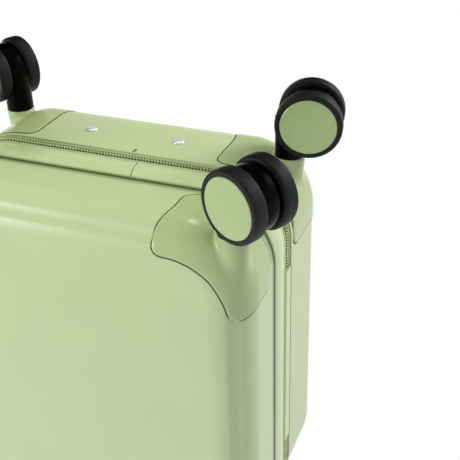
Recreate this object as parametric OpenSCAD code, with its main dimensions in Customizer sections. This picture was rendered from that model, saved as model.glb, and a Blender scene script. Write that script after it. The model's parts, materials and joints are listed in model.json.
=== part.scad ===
// Hard shell cabin suitcase on four swivel casters.
// It stands upright on its wheels: +Z is up, the front face looks towards -Y,
// the hinged side is -X and the lock side is +X. Lengths are in millimetres.

/* [Body] */
// Width of the body, hinge side to lock side
body_w = 336; // [300:2:420]
// Depth of the closed body, front face to back face
body_d = 210; // [190:2:250]
// Height of the body without its wheels
body_h = 385; // [360:5:520]
// Radius of the four corners, seen from the front
corner_r = 62; // [56:1:70]
// Radius of the rounding from the sides to the front and back faces
edge_r = 34; // [28:1:38]
// Thickness of the moulded shells
wall = 2.2; // [1.8:0.1:3]
// Clear height between the top of a wheel and the bottom of the body
wheel_gap = 2; // [2:0.5:8]

/* [Front panel] */
// Depth of the shallow valley that frames the front and back faces
valley_depth = 1.8; // [0.5:0.1:2.5]
// Place of the valley on the rounding, as an angle from the side
valley_angle = 50; // [40:1:60]
// Half width of the valley, as an angle
valley_span = 15; // [10:1:20]

/* [Rim and zipper] */
// Distance from the zipper plane to the front edge of the rim band
band_front = 33; // [28:1:40]
// Distance from the zipper plane to the step behind the band's round part
band_step = 9; // [6:0.5:12]
// How far the band stands proud of the shell
band_proud = 1.4; // [0.5:0.1:1.8]
// Width of the groove between the front shell and the band
groove_w = 3; // [2:0.5:4]
// Depth of the groove and of the zipper channel
groove_deep = 6; // [5:0.5:8]
// Front edge of the zipper channel, in front of the zipper plane
channel_front = 2; // [1:0.5:4]
// Back edge of the zipper channel, behind the zipper plane
channel_back = 12.5; // [11:0.5:16]
// Depth of the zipper tape below the shell
tape_depth = 2.6; // [2.4:0.1:4]
// Thickness of the zipper tape
tape_t = 0.8; // [0.6:0.1:1.2]
// Width of one row of the zipper coil
coil_w = 1.8; // [1.4:0.1:2.4]
// Height of the zipper coil above its tape
coil_h = 1.6; // [1.2:0.1:2]
// Length of the hinge strip that covers the channel on the hinge side
strip_len = 205; // [150:5:215]

/* [Corner guards] */
// How far a guard stands proud of the shell
guard_t = 1; // [0.8:0.1:1.6]
// Length of a guard's lobes from the corner
lobe_len = 80; // [74:1:86]
// Radius of the concave edge between two lobes
lobe_scoop_r = 62; // [56:1:66]
// Radius at the tip of a lobe
lobe_tip_r = 9; // [6:1:12]
// Radius of the pedestal that carries a caster
pedestal_r = 14; // [13:0.5:16]
// Widening of the pedestal where it meets the shell
pedestal_flare = 1; // [0:0.5:3]

/* [Casters] */
// Diameter of a wheel
wheel_d = 60; // [50:1:64]
// Width of one wheel
wheel_w = 14; // [12:0.5:16]
// Width over the pair of wheels of a caster
pair_w = 46; // [42:1:50]
// Radius of the coloured cap on a wheel
cap_r = 25; // [20:0.5:26]
// Rounding at the shoulders of a tyre
tyre_round = 2; // [1.5:0.5:4]
// Distance from the swivel axis to the wheel axle
trail = 18; // [16:0.5:22]
// Radius of the swivel pin
pin_r = 4; // [3:0.25:5]
// Radius of the axle
axle_r = 2.5; // [2:0.25:3.5]
// Distance of the front swivel axes from the sides
stem_side_front = 17; // [17:1:24]
// Distance of the front swivel axes from the front face
stem_face_front = 23; // [22:1:32]
// Distance of the back swivel axes from the sides
stem_side_back = 19; // [18:1:24]
// Distance of the back swivel axes from the back face
stem_face_back = 41; // [34:1:44]
// Turn of the front left caster at rest
turn_front = 25; // [0:1:45]
// Turn of the back left caster at rest
turn_back = -12; // [-30:1:0]

/* [Trolley] */
// Distance between the two telescopic tubes
tube_span = 150; // [120:2:170]
// Width of the outer tube
tube_w = 22; // [20:0.5:26]
// Depth of the outer tube
tube_d = 13; // [12:0.5:15]
// Wall of the tubes
tube_wall = 1; // [0.8:0.1:1.2]
// Play between one tube and the next, on each side
tube_play = 0.3; // [0.3:0.05:0.5]
// Distance of the tubes' centre line from the back face
tube_back = 14; // [12:0.5:20]
// Height of the grip
grip_h = 20; // [16:1:24]
// Depth of the grip
grip_d = 19; // [16:1:20]
// Distance between the two rivets under the body
rivet_span = 92; // [80:2:110]
// Distance of the rivets from the zipper plane
rivet_y = 46; // [40:1:52]
// Diameter of a rivet head
rivet_d = 9.5; // [7:0.5:12]

/* [Carry handles] */
// Length of a carry handle
handle_len = 124; // [110:2:150]
// Reach of a carry handle from its pivot to its outer edge
handle_reach = 27; // [24:1:32]
// Thickness of a carry handle
handle_t = 9; // [7:0.5:11]
// Radius of the handle pivots
pivot_r = 2.5; // [2:0.25:3]

/* [Lock] */
// Length of the lock housing
lock_len = 76; // [70:1:90]
// Width of the lock housing
lock_w = 25; // [22:1:28]
// How far the lock housing stands proud of the side
lock_proud = 3; // [2:0.5:4]
// Diameter of a number dial
dial_d = 13; // [11:0.5:14]
// Width of a number dial
dial_w = 5; // [4:0.5:6]

/* [Hidden] */
$fn = 64;
half_w = body_w / 2;
half_d = body_d / 2;
wheel_r = wheel_d / 2;
body_z = wheel_d + wheel_gap;
body_top = body_z + body_h;
body_mid = body_z + body_h / 2;
side_run = body_h - 2 * corner_r;
end_run = body_w - 2 * corner_r;
run_gap = 0.3;
pivot_gap = 0.05;
band_t = 2;
groove_back = band_front;
groove_front = band_front + groove_w;
tongue_len = 10;
coil_mid = (channel_back - channel_front) / 2;
arc_steps = 18;
lip_drop = 1.5;
liner_t = 0.8;
guard_corner_r = 11;
guard_taper = 6;
pedestal_z = body_z + 5;
pin_seat = 8;
pin_drop = 24;
pin_head_r = 5.5;
pin_head_h = 2.7;
fork_disc_r = pedestal_r - 0.5;
fork_gap = 0.8;
fork_top = pedestal_z - run_gap;
fork_web_t = pair_w - 2 * wheel_w - 2 * fork_gap;
fork_web_r = wheel_r - 5;
cap_t = 2;
cap_dome = 0.5;
axle_half = pair_w / 2 - cap_t - 0.5;
boss_end = wheel_w - 5;
rivet_shank = 2;
rivet_head_h = 2;
foot_t = 3;
foot_y0 = 36;
foot_y1 = half_d - edge_r;
foot_h = 40;
foot_socket_z = 24;
foot_w = tube_span + tube_w + 8;
tube_y = half_d - tube_back;
mid_w = tube_w - 2 * tube_wall - 2 * tube_play;
mid_d = tube_d - 2 * tube_wall - 2 * tube_play;
inner_w = mid_w - 2 * tube_wall - 2 * tube_play;
inner_d = mid_d - 2 * tube_wall - 2 * tube_play;
tube_r = 3;
bezel_wall = 3;
bezel_drop = 30;
bezel_rise = 3;
bezel_w = tube_span + tube_w + 16;
grip_w = tube_span + tube_w + 4;
grip_top = body_top + bezel_rise - 0.5;
grip_bottom = grip_top - grip_h;
pocket_floor = grip_bottom - 0.5;
tray_h = pocket_floor - body_top + bezel_drop;
button_l = 30;
button_w = 9;
button_h = 6;
button_rise = 1.5;
button_stroke = 3;
handle_bar = 14;
handle_arm = 12;
handle_lift = 1.5;
ear_t = 9;
ear_w = 11;
top_handle_y = 40;
side_handle_y = channel_back + lock_w + 6.5;
lock_z = body_mid;
lock_y = channel_back + 1 + lock_w / 2;
lock_deep = 10;
lock_rim = 3;
dial_pitch = 9;
dial_shaft_r = 1.5;
dial_rise = 2;
dial_x = half_w + lock_proud + dial_rise - dial_d / 2;
dial_z = lock_z - 12;
lock_button_s = 12;
lock_button_z = lock_z + 24;
slider_l = 13;
slider_w = 9;
slider_t = 2.2;
slider_x = half_w - tape_depth + coil_h + run_gap;
slider_lug = 1.5;
pull_pin_r = 1;
pull_x = slider_x + slider_t + 2.2;
pull_l = 30;
pull_t = 2;
upper_slider_z = body_mid + 40;
lower_slider_z = body_mid - 5;

// ---- Outlines ----

// Points on an arc round [cx, cy], from angle a0 to a1.
function arc(cx, cy, r, a0, a1, n) =
    [for (i = [0:n]) let (a = a0 + (a1 - a0) * i / n) [cx + r * cos(a), cy + r * sin(a)]];

// Depth of the valley at angle a on the rounding.
function valley(a) =
    abs(a - valley_angle) < valley_span
        ? valley_depth * (1 + cos(180 * (a - valley_angle) / valley_span)) / 2
        : 0;

// The rounding from side (0 degrees) to face (90 degrees), moved out by grow.
// Profiles are drawn as [distance from the corner's centre, distance from the zipper plane].
function rounding(grow, face, with_valley) =
    [for (i = [0:arc_steps * 2])
        let (a = 90 * i / (arc_steps * 2), r = edge_r + grow - (with_valley ? valley(a) : 0))
        [corner_r - edge_r + r * cos(a), face - edge_r + r * sin(a)]];

function reversed(list) = [for (i = [len(list) - 1:-1:0]) list[i]];

// Wall of a half shell: rim is where it ends, with a flange turned in by groove_deep.
function shell_wall(rim, face) = concat(
    [[corner_r, rim]], rounding(0, face, true), [[0, face], [0, face - wall]],
    reversed(rounding(-wall, face, true)),
    [[corner_r - wall, rim + wall], [corner_r - groove_deep, rim + wall],
     [corner_r - groove_deep, rim]]);

// Lining glued inside a half shell, from its flange to its face.
function liner_wall(rim, face) = concat(
    rounding(-wall, face, true), [[0, face - wall], [0, face - wall - liner_t]],
    reversed(rounding(-wall - liner_t, face, true)),
    [[corner_r - wall - liner_t, rim + wall], [corner_r - wall, rim + wall]]);

// ---- Sweeps round the body ----

// Puts a drawing of the front view upright: drawn x is X, drawn y is height from the
// middle of the body and drawn z is the distance in front of the zipper plane.
module upright() {
    translate([0, 0, body_mid]) rotate([90, 0, 0]) children();
}

// One straight side of a ring: side 0 is +X, 1 is the top, 2 is -X, 3 is the bottom.
module ring_side(side, length, centre = 0) {
    across = side % 2 == 0 ? half_w - corner_r : body_h / 2 - corner_r;
    rotate([0, 0, 90 * side])
        translate([across, length / 2 + centre, 0])
            rotate([90, 0, 0])
                linear_extrude(length) children();
}

// One corner of a ring: corner 0 is +X and top, then on round to the left.
module ring_corner(corner) {
    sx = corner == 0 || corner == 3 ? 1 : -1;
    sy = corner < 2 ? 1 : -1;
    translate([sx * (half_w - corner_r), sy * (body_h / 2 - corner_r), 0])
        rotate([0, 0, 90 * corner])
            rotate_extrude(angle = 90) children();
}

// A profile swept all the way round the body.
module ring() {
    for (k = [0:3]) {
        ring_side(k, k % 2 == 0 ? side_run : end_run) children();
        ring_corner(k) children();
    }
}

// A profile swept round the body except behind the hinge strip.
module open_ring() {
    for (k = [0, 1, 3]) ring_side(k, k == 0 ? side_run : end_run) children();
    for (k = [0:3]) ring_corner(k) children();
    stub = (side_run - strip_len) / 2;
    for (s = [-1, 1]) ring_side(2, stub, s * (side_run - stub) / 2) children();
}

// A rectangle with round corners, centred.
module round_rect(w, h, r) {
    square([w, h - 2 * r], center = true);
    square([w - 2 * r, h], center = true);
    for (sx = [-1, 1], sy = [-1, 1])
        translate([sx * (w / 2 - r), sy * (h / 2 - r)]) circle(r);
}

// ---- Shells ----

module half_shell(rim) {
    ring() polygon(shell_wall(rim, half_d));
    translate([0, 0, half_d - wall / 2]) cube([end_run, side_run, wall], center = true);
}

// The hollow's lining: an open tray of cloth.
module liner_tray(rim) {
    ring() polygon(liner_wall(rim, half_d));
    translate([0, 0, half_d - wall - liner_t / 2])
        cube([end_run, side_run, liner_t], center = true);
}

module front_shell() {
    color("#C6D2A4") upright() half_shell(groove_front);
}

module front_liner() {
    color("#8E9A78") upright() liner_tray(groove_front + tongue_len);
}

// The back shell is the same moulding turned round, with its cut-outs.
module back_shell() {
    color("#C6D2A4") difference() {
        mirror([0, 1, 0]) upright() half_shell(channel_back);
        bezel_block(0);
        lock_cut();
        for (s = [-1, 1])
            translate([s * rivet_span / 2, rivet_y, body_z - 1]) cylinder(r = rivet_shank, h = wall + 2);
    }
}

module back_liner() {
    color("#8E9A78") difference() {
        mirror([0, 1, 0]) upright() liner_tray(channel_back);
        bezel_block(0);
        translate([half_w - 20, channel_back, lock_z - lock_len / 2 - 2])
            cube([40, lock_w + 4, lock_len + 4]);
        translate([-foot_w / 2 - 1, foot_y0 - 1, body_z]) cube([foot_w + 2, half_d - foot_y0, foot_h + 3]);
    }
}

// ---- Rim band, hinge strip and zipper ----

// The band is one moulded channel: a tongue inside the front shell, the groove's floor,
// the proud round part, a step, a low lip and a leg for the zipper tape.
function band_profile() = concat(
    [[corner_r - groove_deep, groove_front + wall + tongue_len],
     [corner_r - groove_deep, groove_back]],
    [for (i = [0:12]) let (t = i / 12)
        [corner_r + band_proud * sin(180 * t), groove_back + (band_step - groove_back) * t]],
    [[corner_r - lip_drop, band_step], [corner_r - lip_drop, channel_front],
     [corner_r - groove_deep - tape_t, channel_front],
     [corner_r - groove_deep - tape_t, channel_front + band_t],
     [corner_r - lip_drop - band_t, channel_front + band_t],
     [corner_r - lip_drop - band_t, groove_back - band_t],
     [corner_r - groove_deep - band_t, groove_back - band_t],
     [corner_r - groove_deep - band_t, groove_front + wall + tongue_len]]);

module rim_band() {
    color("#BCCB95") upright() ring() polygon(band_profile());
}

// The strip closes the zipper channel on the hinge side, flush with the band's lip.
module hinge_strip() {
    color("#BCCB95") upright()
        ring_side(2, strip_len)
            polygon([[corner_r - lip_drop, channel_front], [corner_r, channel_front - 1.5],
                     [corner_r, -channel_back + run_gap],
                     [corner_r - band_t, -channel_back + run_gap],
                     [corner_r - band_t - lip_drop, channel_front]]);
}

// Half of the zipper: tape from its rim to the middle, with a row of coil.
module tape_half(rim, side) {
    r1 = corner_r - tape_depth;
    edge = -coil_mid + side * run_gap / 2;
    open_ring() union() {
        translate([r1 - tape_t, min(rim, edge)]) square([tape_t, abs(rim - edge)]);
        translate([r1, side > 0 ? edge : edge - coil_w]) square([coil_h, coil_w]);
    }
}

module front_zipper_tape() {
    color("#7C8F55") upright() tape_half(channel_front, 1);
}

module back_zipper_tape() {
    color("#7C8F55") upright() tape_half(-channel_back, -1);
}

// ---- Corner guards ----

// Front view of a guard, from the body's corner: two lobes with a concave edge between.
function guard_outline() =
    let (c = lobe_len + 2, t = lobe_tip_r, reach = lobe_len - t,
         drop = c - sqrt(pow(lobe_scoop_r + t, 2) - pow(c - reach, 2)),
         a = atan2(c - drop, c - reach))
    concat([[-5, -5], [lobe_len, -5]], arc(reach, drop, t, 0, a, 8),
        arc(c, c, lobe_scoop_r, 180 + a, 270 - a, 16), arc(drop, reach, t, 90 - a, 90, 8),
        [[-5, lobe_len]]);

// Side view of a guard: it ends short of the rim, with a round corner, and widens a
// little towards the face.
function guard_side_outline(rim) =
    let (near = lobe_len - guard_taper, r = guard_corner_r)
    concat([[-5, half_d + 5], [-5, rim]], arc(near - r, rim + r, r, -90, 0, 8),
        [[near + 1, half_d - 28], [lobe_len, half_d - 8], [lobe_len, half_d + 5]]);

// The band of surface between two offsets of the rounding, near one corner.
module guard_skin_profile() {
    polygon(concat(
        [[corner_r, 0], [corner_r + guard_t, 0]], rounding(guard_t, half_d, false),
        [[0, half_d + guard_t], [0, half_d]], reversed(rounding(0, half_d, true))));
}

module corner_core_profile() {
    polygon(concat([[0, -10], [corner_r, -10]], rounding(0, half_d, true), [[0, half_d]]));
}

// Sweeps a profile round the bottom left corner only.
module corner_sweep() {
    ring_corner(2) children();
    stub = lobe_len - corner_r + 12;
    ring_side(2, stub, side_run / 2 - stub / 2) children();
    ring_side(3, stub, -(end_run / 2 - stub / 2)) children();
}

// A guard on the bottom left corner of the front half; rim is its edge towards the
// zipper and [side, face] is the place of its swivel axis from the side and the face.
module guard(rim, side, face) {
    upright() translate([-half_w, -body_h / 2, 0]) difference() {
        union() {
            intersection() {
                translate([half_w, body_h / 2, 0]) corner_sweep() guard_skin_profile();
                linear_extrude(half_d + 10) polygon(guard_outline());
                rotate([90, 0, 0]) translate([0, 0, -lobe_len - 20])
                    linear_extrude(lobe_len + 40) polygon(guard_side_outline(rim));
                rotate([90, 0, 90]) translate([0, 0, -20])
                    linear_extrude(lobe_len + 40) polygon(guard_side_outline(rim));
            }
            difference() {
                translate([side, pedestal_z - body_z, half_d - face]) rotate([-90, 0, 0])
                    cylinder(r1 = pedestal_r, r2 = pedestal_r + pedestal_flare, h = corner_r - 8);
                translate([half_w, body_h / 2, 0]) corner_sweep() corner_core_profile();
            }
        }
        translate([side, pedestal_z - body_z - 3, half_d - face]) rotate([-90, 0, 0])
            cylinder(r = pin_r, h = pin_seat + 3);
    }
}

module front_guard_left() {
    color("#A6B87E") guard(groove_front + 7, stem_side_front, stem_face_front);
}

module front_guard_right() {
    color("#A6B87E") mirror([1, 0, 0])
        guard(groove_front + 7, stem_side_back, stem_face_back);
}

module back_guard_left() {
    color("#A6B87E") mirror([0, 1, 0])
        guard(channel_back + 5, stem_side_back, stem_face_back);
}

module back_guard_right() {
    color("#A6B87E") mirror([1, 0, 0]) mirror([0, 1, 0])
        guard(channel_back + 5, stem_side_front, stem_face_front);
}

// ---- Casters ----
// A caster is drawn with its swivel axis on Z, its axle along Y and the axle on the -X side.

// Its corner, the place of its swivel axis and its turn at rest. The back right caster
// mirrors the front left one through the middle of the body, and so do the other two.
CASTERS = [
    ["front_left", -half_w + stem_side_front, -half_d + stem_face_front, turn_front],
    ["back_left", -half_w + stem_side_back, half_d - stem_face_back, turn_back],
    ["front_right", half_w - stem_side_back, -half_d + stem_face_back, turn_back + 180],
    ["back_right", half_w - stem_side_front, half_d - stem_face_front, turn_front + 180]
];

module swivel_pin() {
    translate([0, 0, pedestal_z - pin_drop]) {
        cylinder(r = pin_head_r, h = pin_head_h);
        cylinder(r = pin_r, h = pin_drop + pin_seat);
    }
}

module front_swivel_pins() {
    color("#B9BBBC") for (k = [0, 2]) translate([CASTERS[k][1], CASTERS[k][2], 0]) swivel_pin();
}

module back_swivel_pins() {
    color("#B9BBBC") for (k = [1, 3]) translate([CASTERS[k][1], CASTERS[k][2], 0]) swivel_pin();
}

// The fork is a round post under the pedestal that carries a web between the wheels.
module fork() {
    color("#111214") difference() {
        union() {
            for (at = [[-trail, fork_web_r], [0, fork_disc_r - 1]])
                translate([at[0], fork_web_t / 2, wheel_r]) rotate([90, 0, 0])
                    cylinder(r = at[1], h = fork_web_t);
            translate([0, 0, wheel_r]) cylinder(r = fork_disc_r, h = fork_top - wheel_r);
        }
        for (s = [-1, 1]) translate([-trail, s * (fork_web_t / 2 + wheel_w), wheel_r])
            rotate([90, 0, 0])
                cylinder(r = wheel_r + fork_gap, h = wheel_w * 2, center = true);
        cylinder(r = pin_r + pivot_gap, h = body_z * 2);
        translate([0, 0, -1])
            cylinder(r = pin_head_r + run_gap, h = pedestal_z - pin_drop + pin_head_h + run_gap + 1);
        axle_rod(axle_r, fork_web_t + 2);
    }
}

module axle_rod(r, length) {
    translate([-trail, 0, wheel_r]) rotate([90, 0, 0]) cylinder(r = r, h = length, center = true);
}

// The axle, with a ring at each end that keeps its wheel on.
module axle() {
    color("#B9BBBC") {
        axle_rod(axle_r, 2 * axle_half);
        for (s = [-1, 1]) translate([0, s * (pair_w / 2 - wheel_w + boss_end + 0.9), 0])
            axle_rod(axle_r + 2, 1.2);
    }
}

// Section of a wheel as [radius, distance from its inner face].
module wheel_section() {
    boss = 7;
    rim = cap_r - 4;
    bead = wheel_r - tyre_round;
    polygon(concat(
        [[axle_r + pivot_gap, -0.5], [boss, -0.5], [boss, 4], [rim, 4], [rim, 0]],
        arc(bead, tyre_round, tyre_round, -90, 0, 8),
        arc(bead, wheel_w - tyre_round, tyre_round, 0, 90, 8),
        [[cap_r, wheel_w], [cap_r, wheel_w - cap_t], [rim, wheel_w - cap_t], [rim, 7],
         [boss, 7], [boss, boss_end], [axle_r + pivot_gap, boss_end]]));
}

// Places a section on the axle: side -1 is the wheel that faces outwards at rest.
module on_axle(side) {
    translate([-trail, side * (pair_w / 2 - wheel_w), wheel_r])
        rotate([side > 0 ? -90 : 90, 0, 0])
            rotate_extrude() children();
}

module wheel(side) {
    color("#2B2C2E") on_axle(side) wheel_section();
}

module hub_cap(side) {
    color("#9DB876") on_axle(side)
        polygon(concat([[0, wheel_w - cap_t], [cap_r, wheel_w - cap_t], [cap_r, wheel_w - 0.4]],
            [for (i = [0:8]) let (r = (cap_r - 0.6) * (1 - i / 8))
                [r, wheel_w + cap_dome * (1 - pow(r / cap_r, 2))]]));
}

module casters() {
    for (c = CASTERS) translate([c[1], c[2], 0]) rotate([0, 0, c[3]]) {
        fork();
        axle();
        wheel(-1);
        wheel(1);
        hub_cap(-1);
        hub_cap(1);
    }
}

// ---- Telescopic trolley ----

// Copies its children at both tubes, on the tubes' centre line.
module at_tubes() {
    for (s = [-1, 1]) translate([s * tube_span / 2, tube_y, 0]) children();
}

module tube(w, d, z0, z1) {
    translate([0, 0, z0]) linear_extrude(z1 - z0) difference() {
        round_rect(w, d, tube_r - (tube_w - w) / 4);
        round_rect(w - 2 * tube_wall, d - 2 * tube_wall, max(0.8, tube_r - (tube_w - w) / 4 - tube_wall));
    }
}

module trolley_outer_tubes() {
    color("#C9CBCD") at_tubes()
        tube(tube_w, tube_d, body_z + foot_socket_z + foot_t, body_top - bezel_drop);
}

module trolley_mid_tubes() {
    color("#D2D4D6") at_tubes() tube(mid_w, mid_d, body_z + foot_socket_z + 8, pocket_floor);
}

module trolley_inner_tubes() {
    color("#DADCDD") at_tubes() tube(inner_w, inner_d, body_z + foot_socket_z + 12, grip_bottom);
}

// The foot is riveted to the bottom and rises to a socket under each tube.
module trolley_foot() {
    color("#3A3C3E") difference() {
        translate([0, 0, body_z]) {
            translate([-foot_w / 2, foot_y0, wall]) cube([foot_w, foot_y1 - foot_y0, foot_t]);
            translate([-foot_w / 2, foot_y1 - foot_t, wall]) cube([foot_w, foot_t, foot_h - wall]);
            for (s = [-1, 1]) translate([s * tube_span / 2, 0, foot_socket_z])
                translate([-tube_w / 2 - 4, foot_y1 - foot_t, 0])
                    cube([tube_w + 8, tube_y + tube_d / 2 + 1.5 - foot_y1 + foot_t,
                          foot_h - foot_socket_z]);
        }
        at_tubes() translate([0, 0, body_z + foot_socket_z + foot_t])
            linear_extrude(foot_h) round_rect(tube_w, tube_d, tube_r);
        for (s = [-1, 1]) translate([s * rivet_span / 2, rivet_y, body_z])
            cylinder(r = rivet_shank, h = foot_h / 2);
    }
}

module foot_rivets() {
    seat = body_z + wall + foot_t;
    dome_r = (pow(rivet_d / 2, 2) + pow(rivet_head_h, 2)) / (2 * rivet_head_h);
    dome_a = asin(rivet_d / 2 / dome_r);
    color("#D6DADD") for (s = [-1, 1]) translate([s * rivet_span / 2, rivet_y, 0])
        rotate_extrude() polygon(concat([[0, seat + 1]],
            [[rivet_shank * 1.8, seat + 1], [rivet_shank * 1.8, seat], [rivet_shank, seat],
             [rivet_shank, body_z], [rivet_d / 2, body_z]],
            [for (i = [1:8]) let (a = dome_a * (1 - i / 8))
                [dome_r * sin(a), body_z - rivet_head_h + dome_r * (1 - cos(a))]]));
}

// End view of the bezel, moved out by g.
function bezel_outline(g) =
    let (y0 = tube_y - grip_d / 2 - bezel_wall - g, y1 = tube_y + grip_d / 2 + bezel_wall + g,
         z0 = body_top - bezel_drop - g, z1 = body_top + bezel_rise + g)
    concat([[y0, z0], [y1, z0]], arc(y1 - 9, z1 - 9, 9, 0, 90, 8), arc(y0 + 2, z1 - 2, 2, 90, 180, 4));

module bezel_block(g) {
    translate([-bezel_w / 2 - g, 0, 0]) rotate([90, 0, 90])
        linear_extrude(bezel_w + 2 * g) polygon(bezel_outline(g));
}

// The bezel is the rim round the grip. It stands on the tray.
module trolley_bezel() {
    color("#2B2D2F") difference() {
        bezel_block(0);
        translate([0, tube_y, pocket_floor]) linear_extrude(grip_h * 2)
            round_rect(grip_w + 1, grip_d + 1, 5);
        translate([0, tube_y, body_top - bezel_drop - 1]) linear_extrude(tray_h + 1)
            square([bezel_w + 2, grip_d * 2], center = true);
    }
}

// The tray under the grip takes the tops of the outer tubes.
module trolley_tray() {
    color("#2B2D2F") translate([0, 0, body_top - bezel_drop]) difference() {
        translate([0, tube_y, 0]) linear_extrude(tray_h)
            square([bezel_w, grip_d + 2 * bezel_wall], center = true);
        at_tubes() translate([0, 0, -1]) linear_extrude(tray_h + 2)
            round_rect(tube_w - 2 * tube_wall, tube_d - 2 * tube_wall, tube_r - tube_wall);
    }
}

// The grip is a round-ended bar, open underneath between the tubes for the fingers.
module trolley_grip() {
    color("#2B2D2F") difference() {
        translate([0, tube_y, 0]) intersection() {
            translate([0, 0, grip_bottom]) linear_extrude(grip_h) round_rect(grip_w, grip_d, 4.5);
            translate([-grip_w, 0, 0]) rotate([90, 0, 90]) linear_extrude(grip_w * 2)
                polygon(concat([[-grip_d, grip_bottom - 1], [grip_d, grip_bottom - 1]],
                    arc(grip_d / 2 - 7, grip_top - 7, 7, 0, 90, 6),
                    arc(-grip_d / 2 + 4, grip_top - 4, 4, 90, 180, 6)));
        }
        translate([0, tube_y, grip_bottom - 1])
            linear_extrude(8) square([tube_span - tube_w - 10, grip_d + 2], center = true);
        translate([-button_l / 2 - run_gap, tube_y - button_w / 2 - run_gap,
                   grip_top + button_rise - button_h - button_stroke - 0.5])
            cube([button_l + 2 * run_gap, button_w + 2 * run_gap, grip_h]);
    }
}

module trolley_button() {
    color("#8D9095") translate([0, tube_y, grip_top + button_rise - button_h])
        linear_extrude(button_h) round_rect(button_l, button_w, 3);
}

// ---- Carry handles ----
// A handle is drawn lying on the plane z = 0 with its pivots on X and its bar at +Y.

module bail() {
    pz = handle_lift + handle_t / 2;
    for (s = [-1, 1]) {
        translate([s * (handle_len - handle_arm) / 2, 0, 0]) {
            translate([0, handle_reach / 2, pz])
                cube([handle_arm, handle_reach - 0.02, handle_t], center = true);
            translate([0, 0, pz]) rotate([0, 90, 0])
                cylinder(r = handle_t / 2, h = handle_arm, center = true);
        }
        translate([s * (handle_len / 2 + ear_t / 2 - 2), 0, pz]) rotate([0, 90, 0])
            cylinder(r = pivot_r, h = ear_t, center = true);
    }
    translate([0, handle_reach - handle_bar / 2, 0]) intersection() {
        translate([0, 0, handle_lift]) linear_extrude(handle_t)
            round_rect(handle_len, handle_bar, 5);
        rotate([90, 0, 90]) linear_extrude(handle_len + 2, center = true)
            translate([0, handle_lift + handle_t / 2]) round_rect(handle_bar, handle_t, 3);
    }
}

module handle_ears() {
    pz = handle_lift + handle_t / 2;
    for (s = [-1, 1]) translate([s * (handle_len / 2 + run_gap + ear_t / 2), 0, 0])
        difference() {
            union() {
                translate([-ear_t / 2, -ear_w / 2, 0]) cube([ear_t, ear_w, pz]);
                translate([0, 0, pz]) rotate([0, 90, 0])
                    cylinder(r = ear_w / 2, h = ear_t, center = true);
            }
            translate([0, 0, pz]) rotate([0, 90, 0])
                cylinder(r = pivot_r + pivot_gap, h = ear_t + 2, center = true);
        }
}

module on_top() {
    translate([0, top_handle_y, body_top]) children();
}

module on_side() {
    translate([half_w, side_handle_y, body_mid]) rotate([0, 90, 0]) children();
}

module top_handle() { color("#A6B87E") on_top() bail(); }
module top_handle_mounts() { color("#8EA168") on_top() handle_ears(); }
module side_handle() { color("#A6B87E") on_side() bail(); }
module side_handle_mounts() { color("#8EA168") on_side() handle_ears(); }

// ---- Lock ----

module lock_cut() {
    translate([half_w - 20, lock_y - lock_w / 2 + lock_rim, lock_z - lock_len / 2 + lock_rim])
        cube([30, lock_w - 2 * lock_rim, lock_len - 2 * lock_rim]);
}

module lock_housing() {
    color("#A6B87E") difference() {
        union() {
            translate([half_w, lock_y, lock_z]) rotate([0, 90, 0])
                linear_extrude(lock_proud) round_rect(lock_len, lock_w, 6);
            translate([half_w - lock_deep, lock_y - lock_w / 2 + lock_rim,
                       lock_z - lock_len / 2 + lock_rim])
                cube([lock_deep + 1, lock_w - 2 * lock_rim, lock_len - 2 * lock_rim]);
        }
        for (k = [-1:1])
            translate([dial_x - dial_d / 2 - 1, lock_y - dial_d / 2 - 0.5,
                       dial_z + k * dial_pitch - dial_w / 2 - run_gap])
                cube([dial_d * 2, dial_d + 1, dial_w + 2 * run_gap]);
        translate([half_w - lock_deep + 1.5, lock_y, lock_button_z]) rotate([0, 90, 0])
            linear_extrude(30) round_rect(lock_button_s + 2 * run_gap, lock_button_s + 2 * run_gap, 2);
    }
    color("#B9BBBC") translate([dial_x, lock_y, dial_z - 1.5 * dial_pitch - 1])
        cylinder(r = dial_shaft_r, h = 3 * dial_pitch + 2);
}

// A number dial: a drum with a grip groove between each of its ten places.
module lock_dial(k) {
    color("#2B2D2F") translate([dial_x, lock_y, dial_z + k * dial_pitch]) difference() {
        cylinder(d = dial_d, h = dial_w, center = true);
        cylinder(r = dial_shaft_r + pivot_gap, h = dial_w + 2, center = true);
        for (i = [0:9]) rotate([0, 0, 36 * i]) translate([dial_d / 2 + 0.2, 0, 0])
            cylinder(r = 0.8, h = dial_w + 2, center = true);
    }
}

module lock_dial_1() { lock_dial(1); }
module lock_dial_2() { lock_dial(0); }
module lock_dial_3() { lock_dial(-1); }

module lock_button() {
    color("#8D9095") translate([half_w - 3, lock_y, lock_button_z]) rotate([0, 90, 0])
        linear_extrude(lock_proud + 4.5) round_rect(lock_button_s, lock_button_s, 2);
}

// ---- Zipper sliders ----
// A slider rides on the coil, and its pull hangs from a pin between two lugs.

module slider(z) {
    color("#B9BBBC") translate([slider_x, coil_mid - slider_w / 2, z]) {
        translate([0, 0, -slider_l / 2]) cube([slider_t, slider_w, slider_l]);
        for (y = [0, slider_w - slider_lug])
            translate([0, y, -2.4]) cube([pull_x - slider_x + 1.8, slider_lug, 4.8]);
        translate([pull_x - slider_x, slider_w / 2, 0]) rotate([90, 0, 0])
            cylinder(r = pull_pin_r, h = slider_w - 1, center = true);
    }
}

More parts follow.
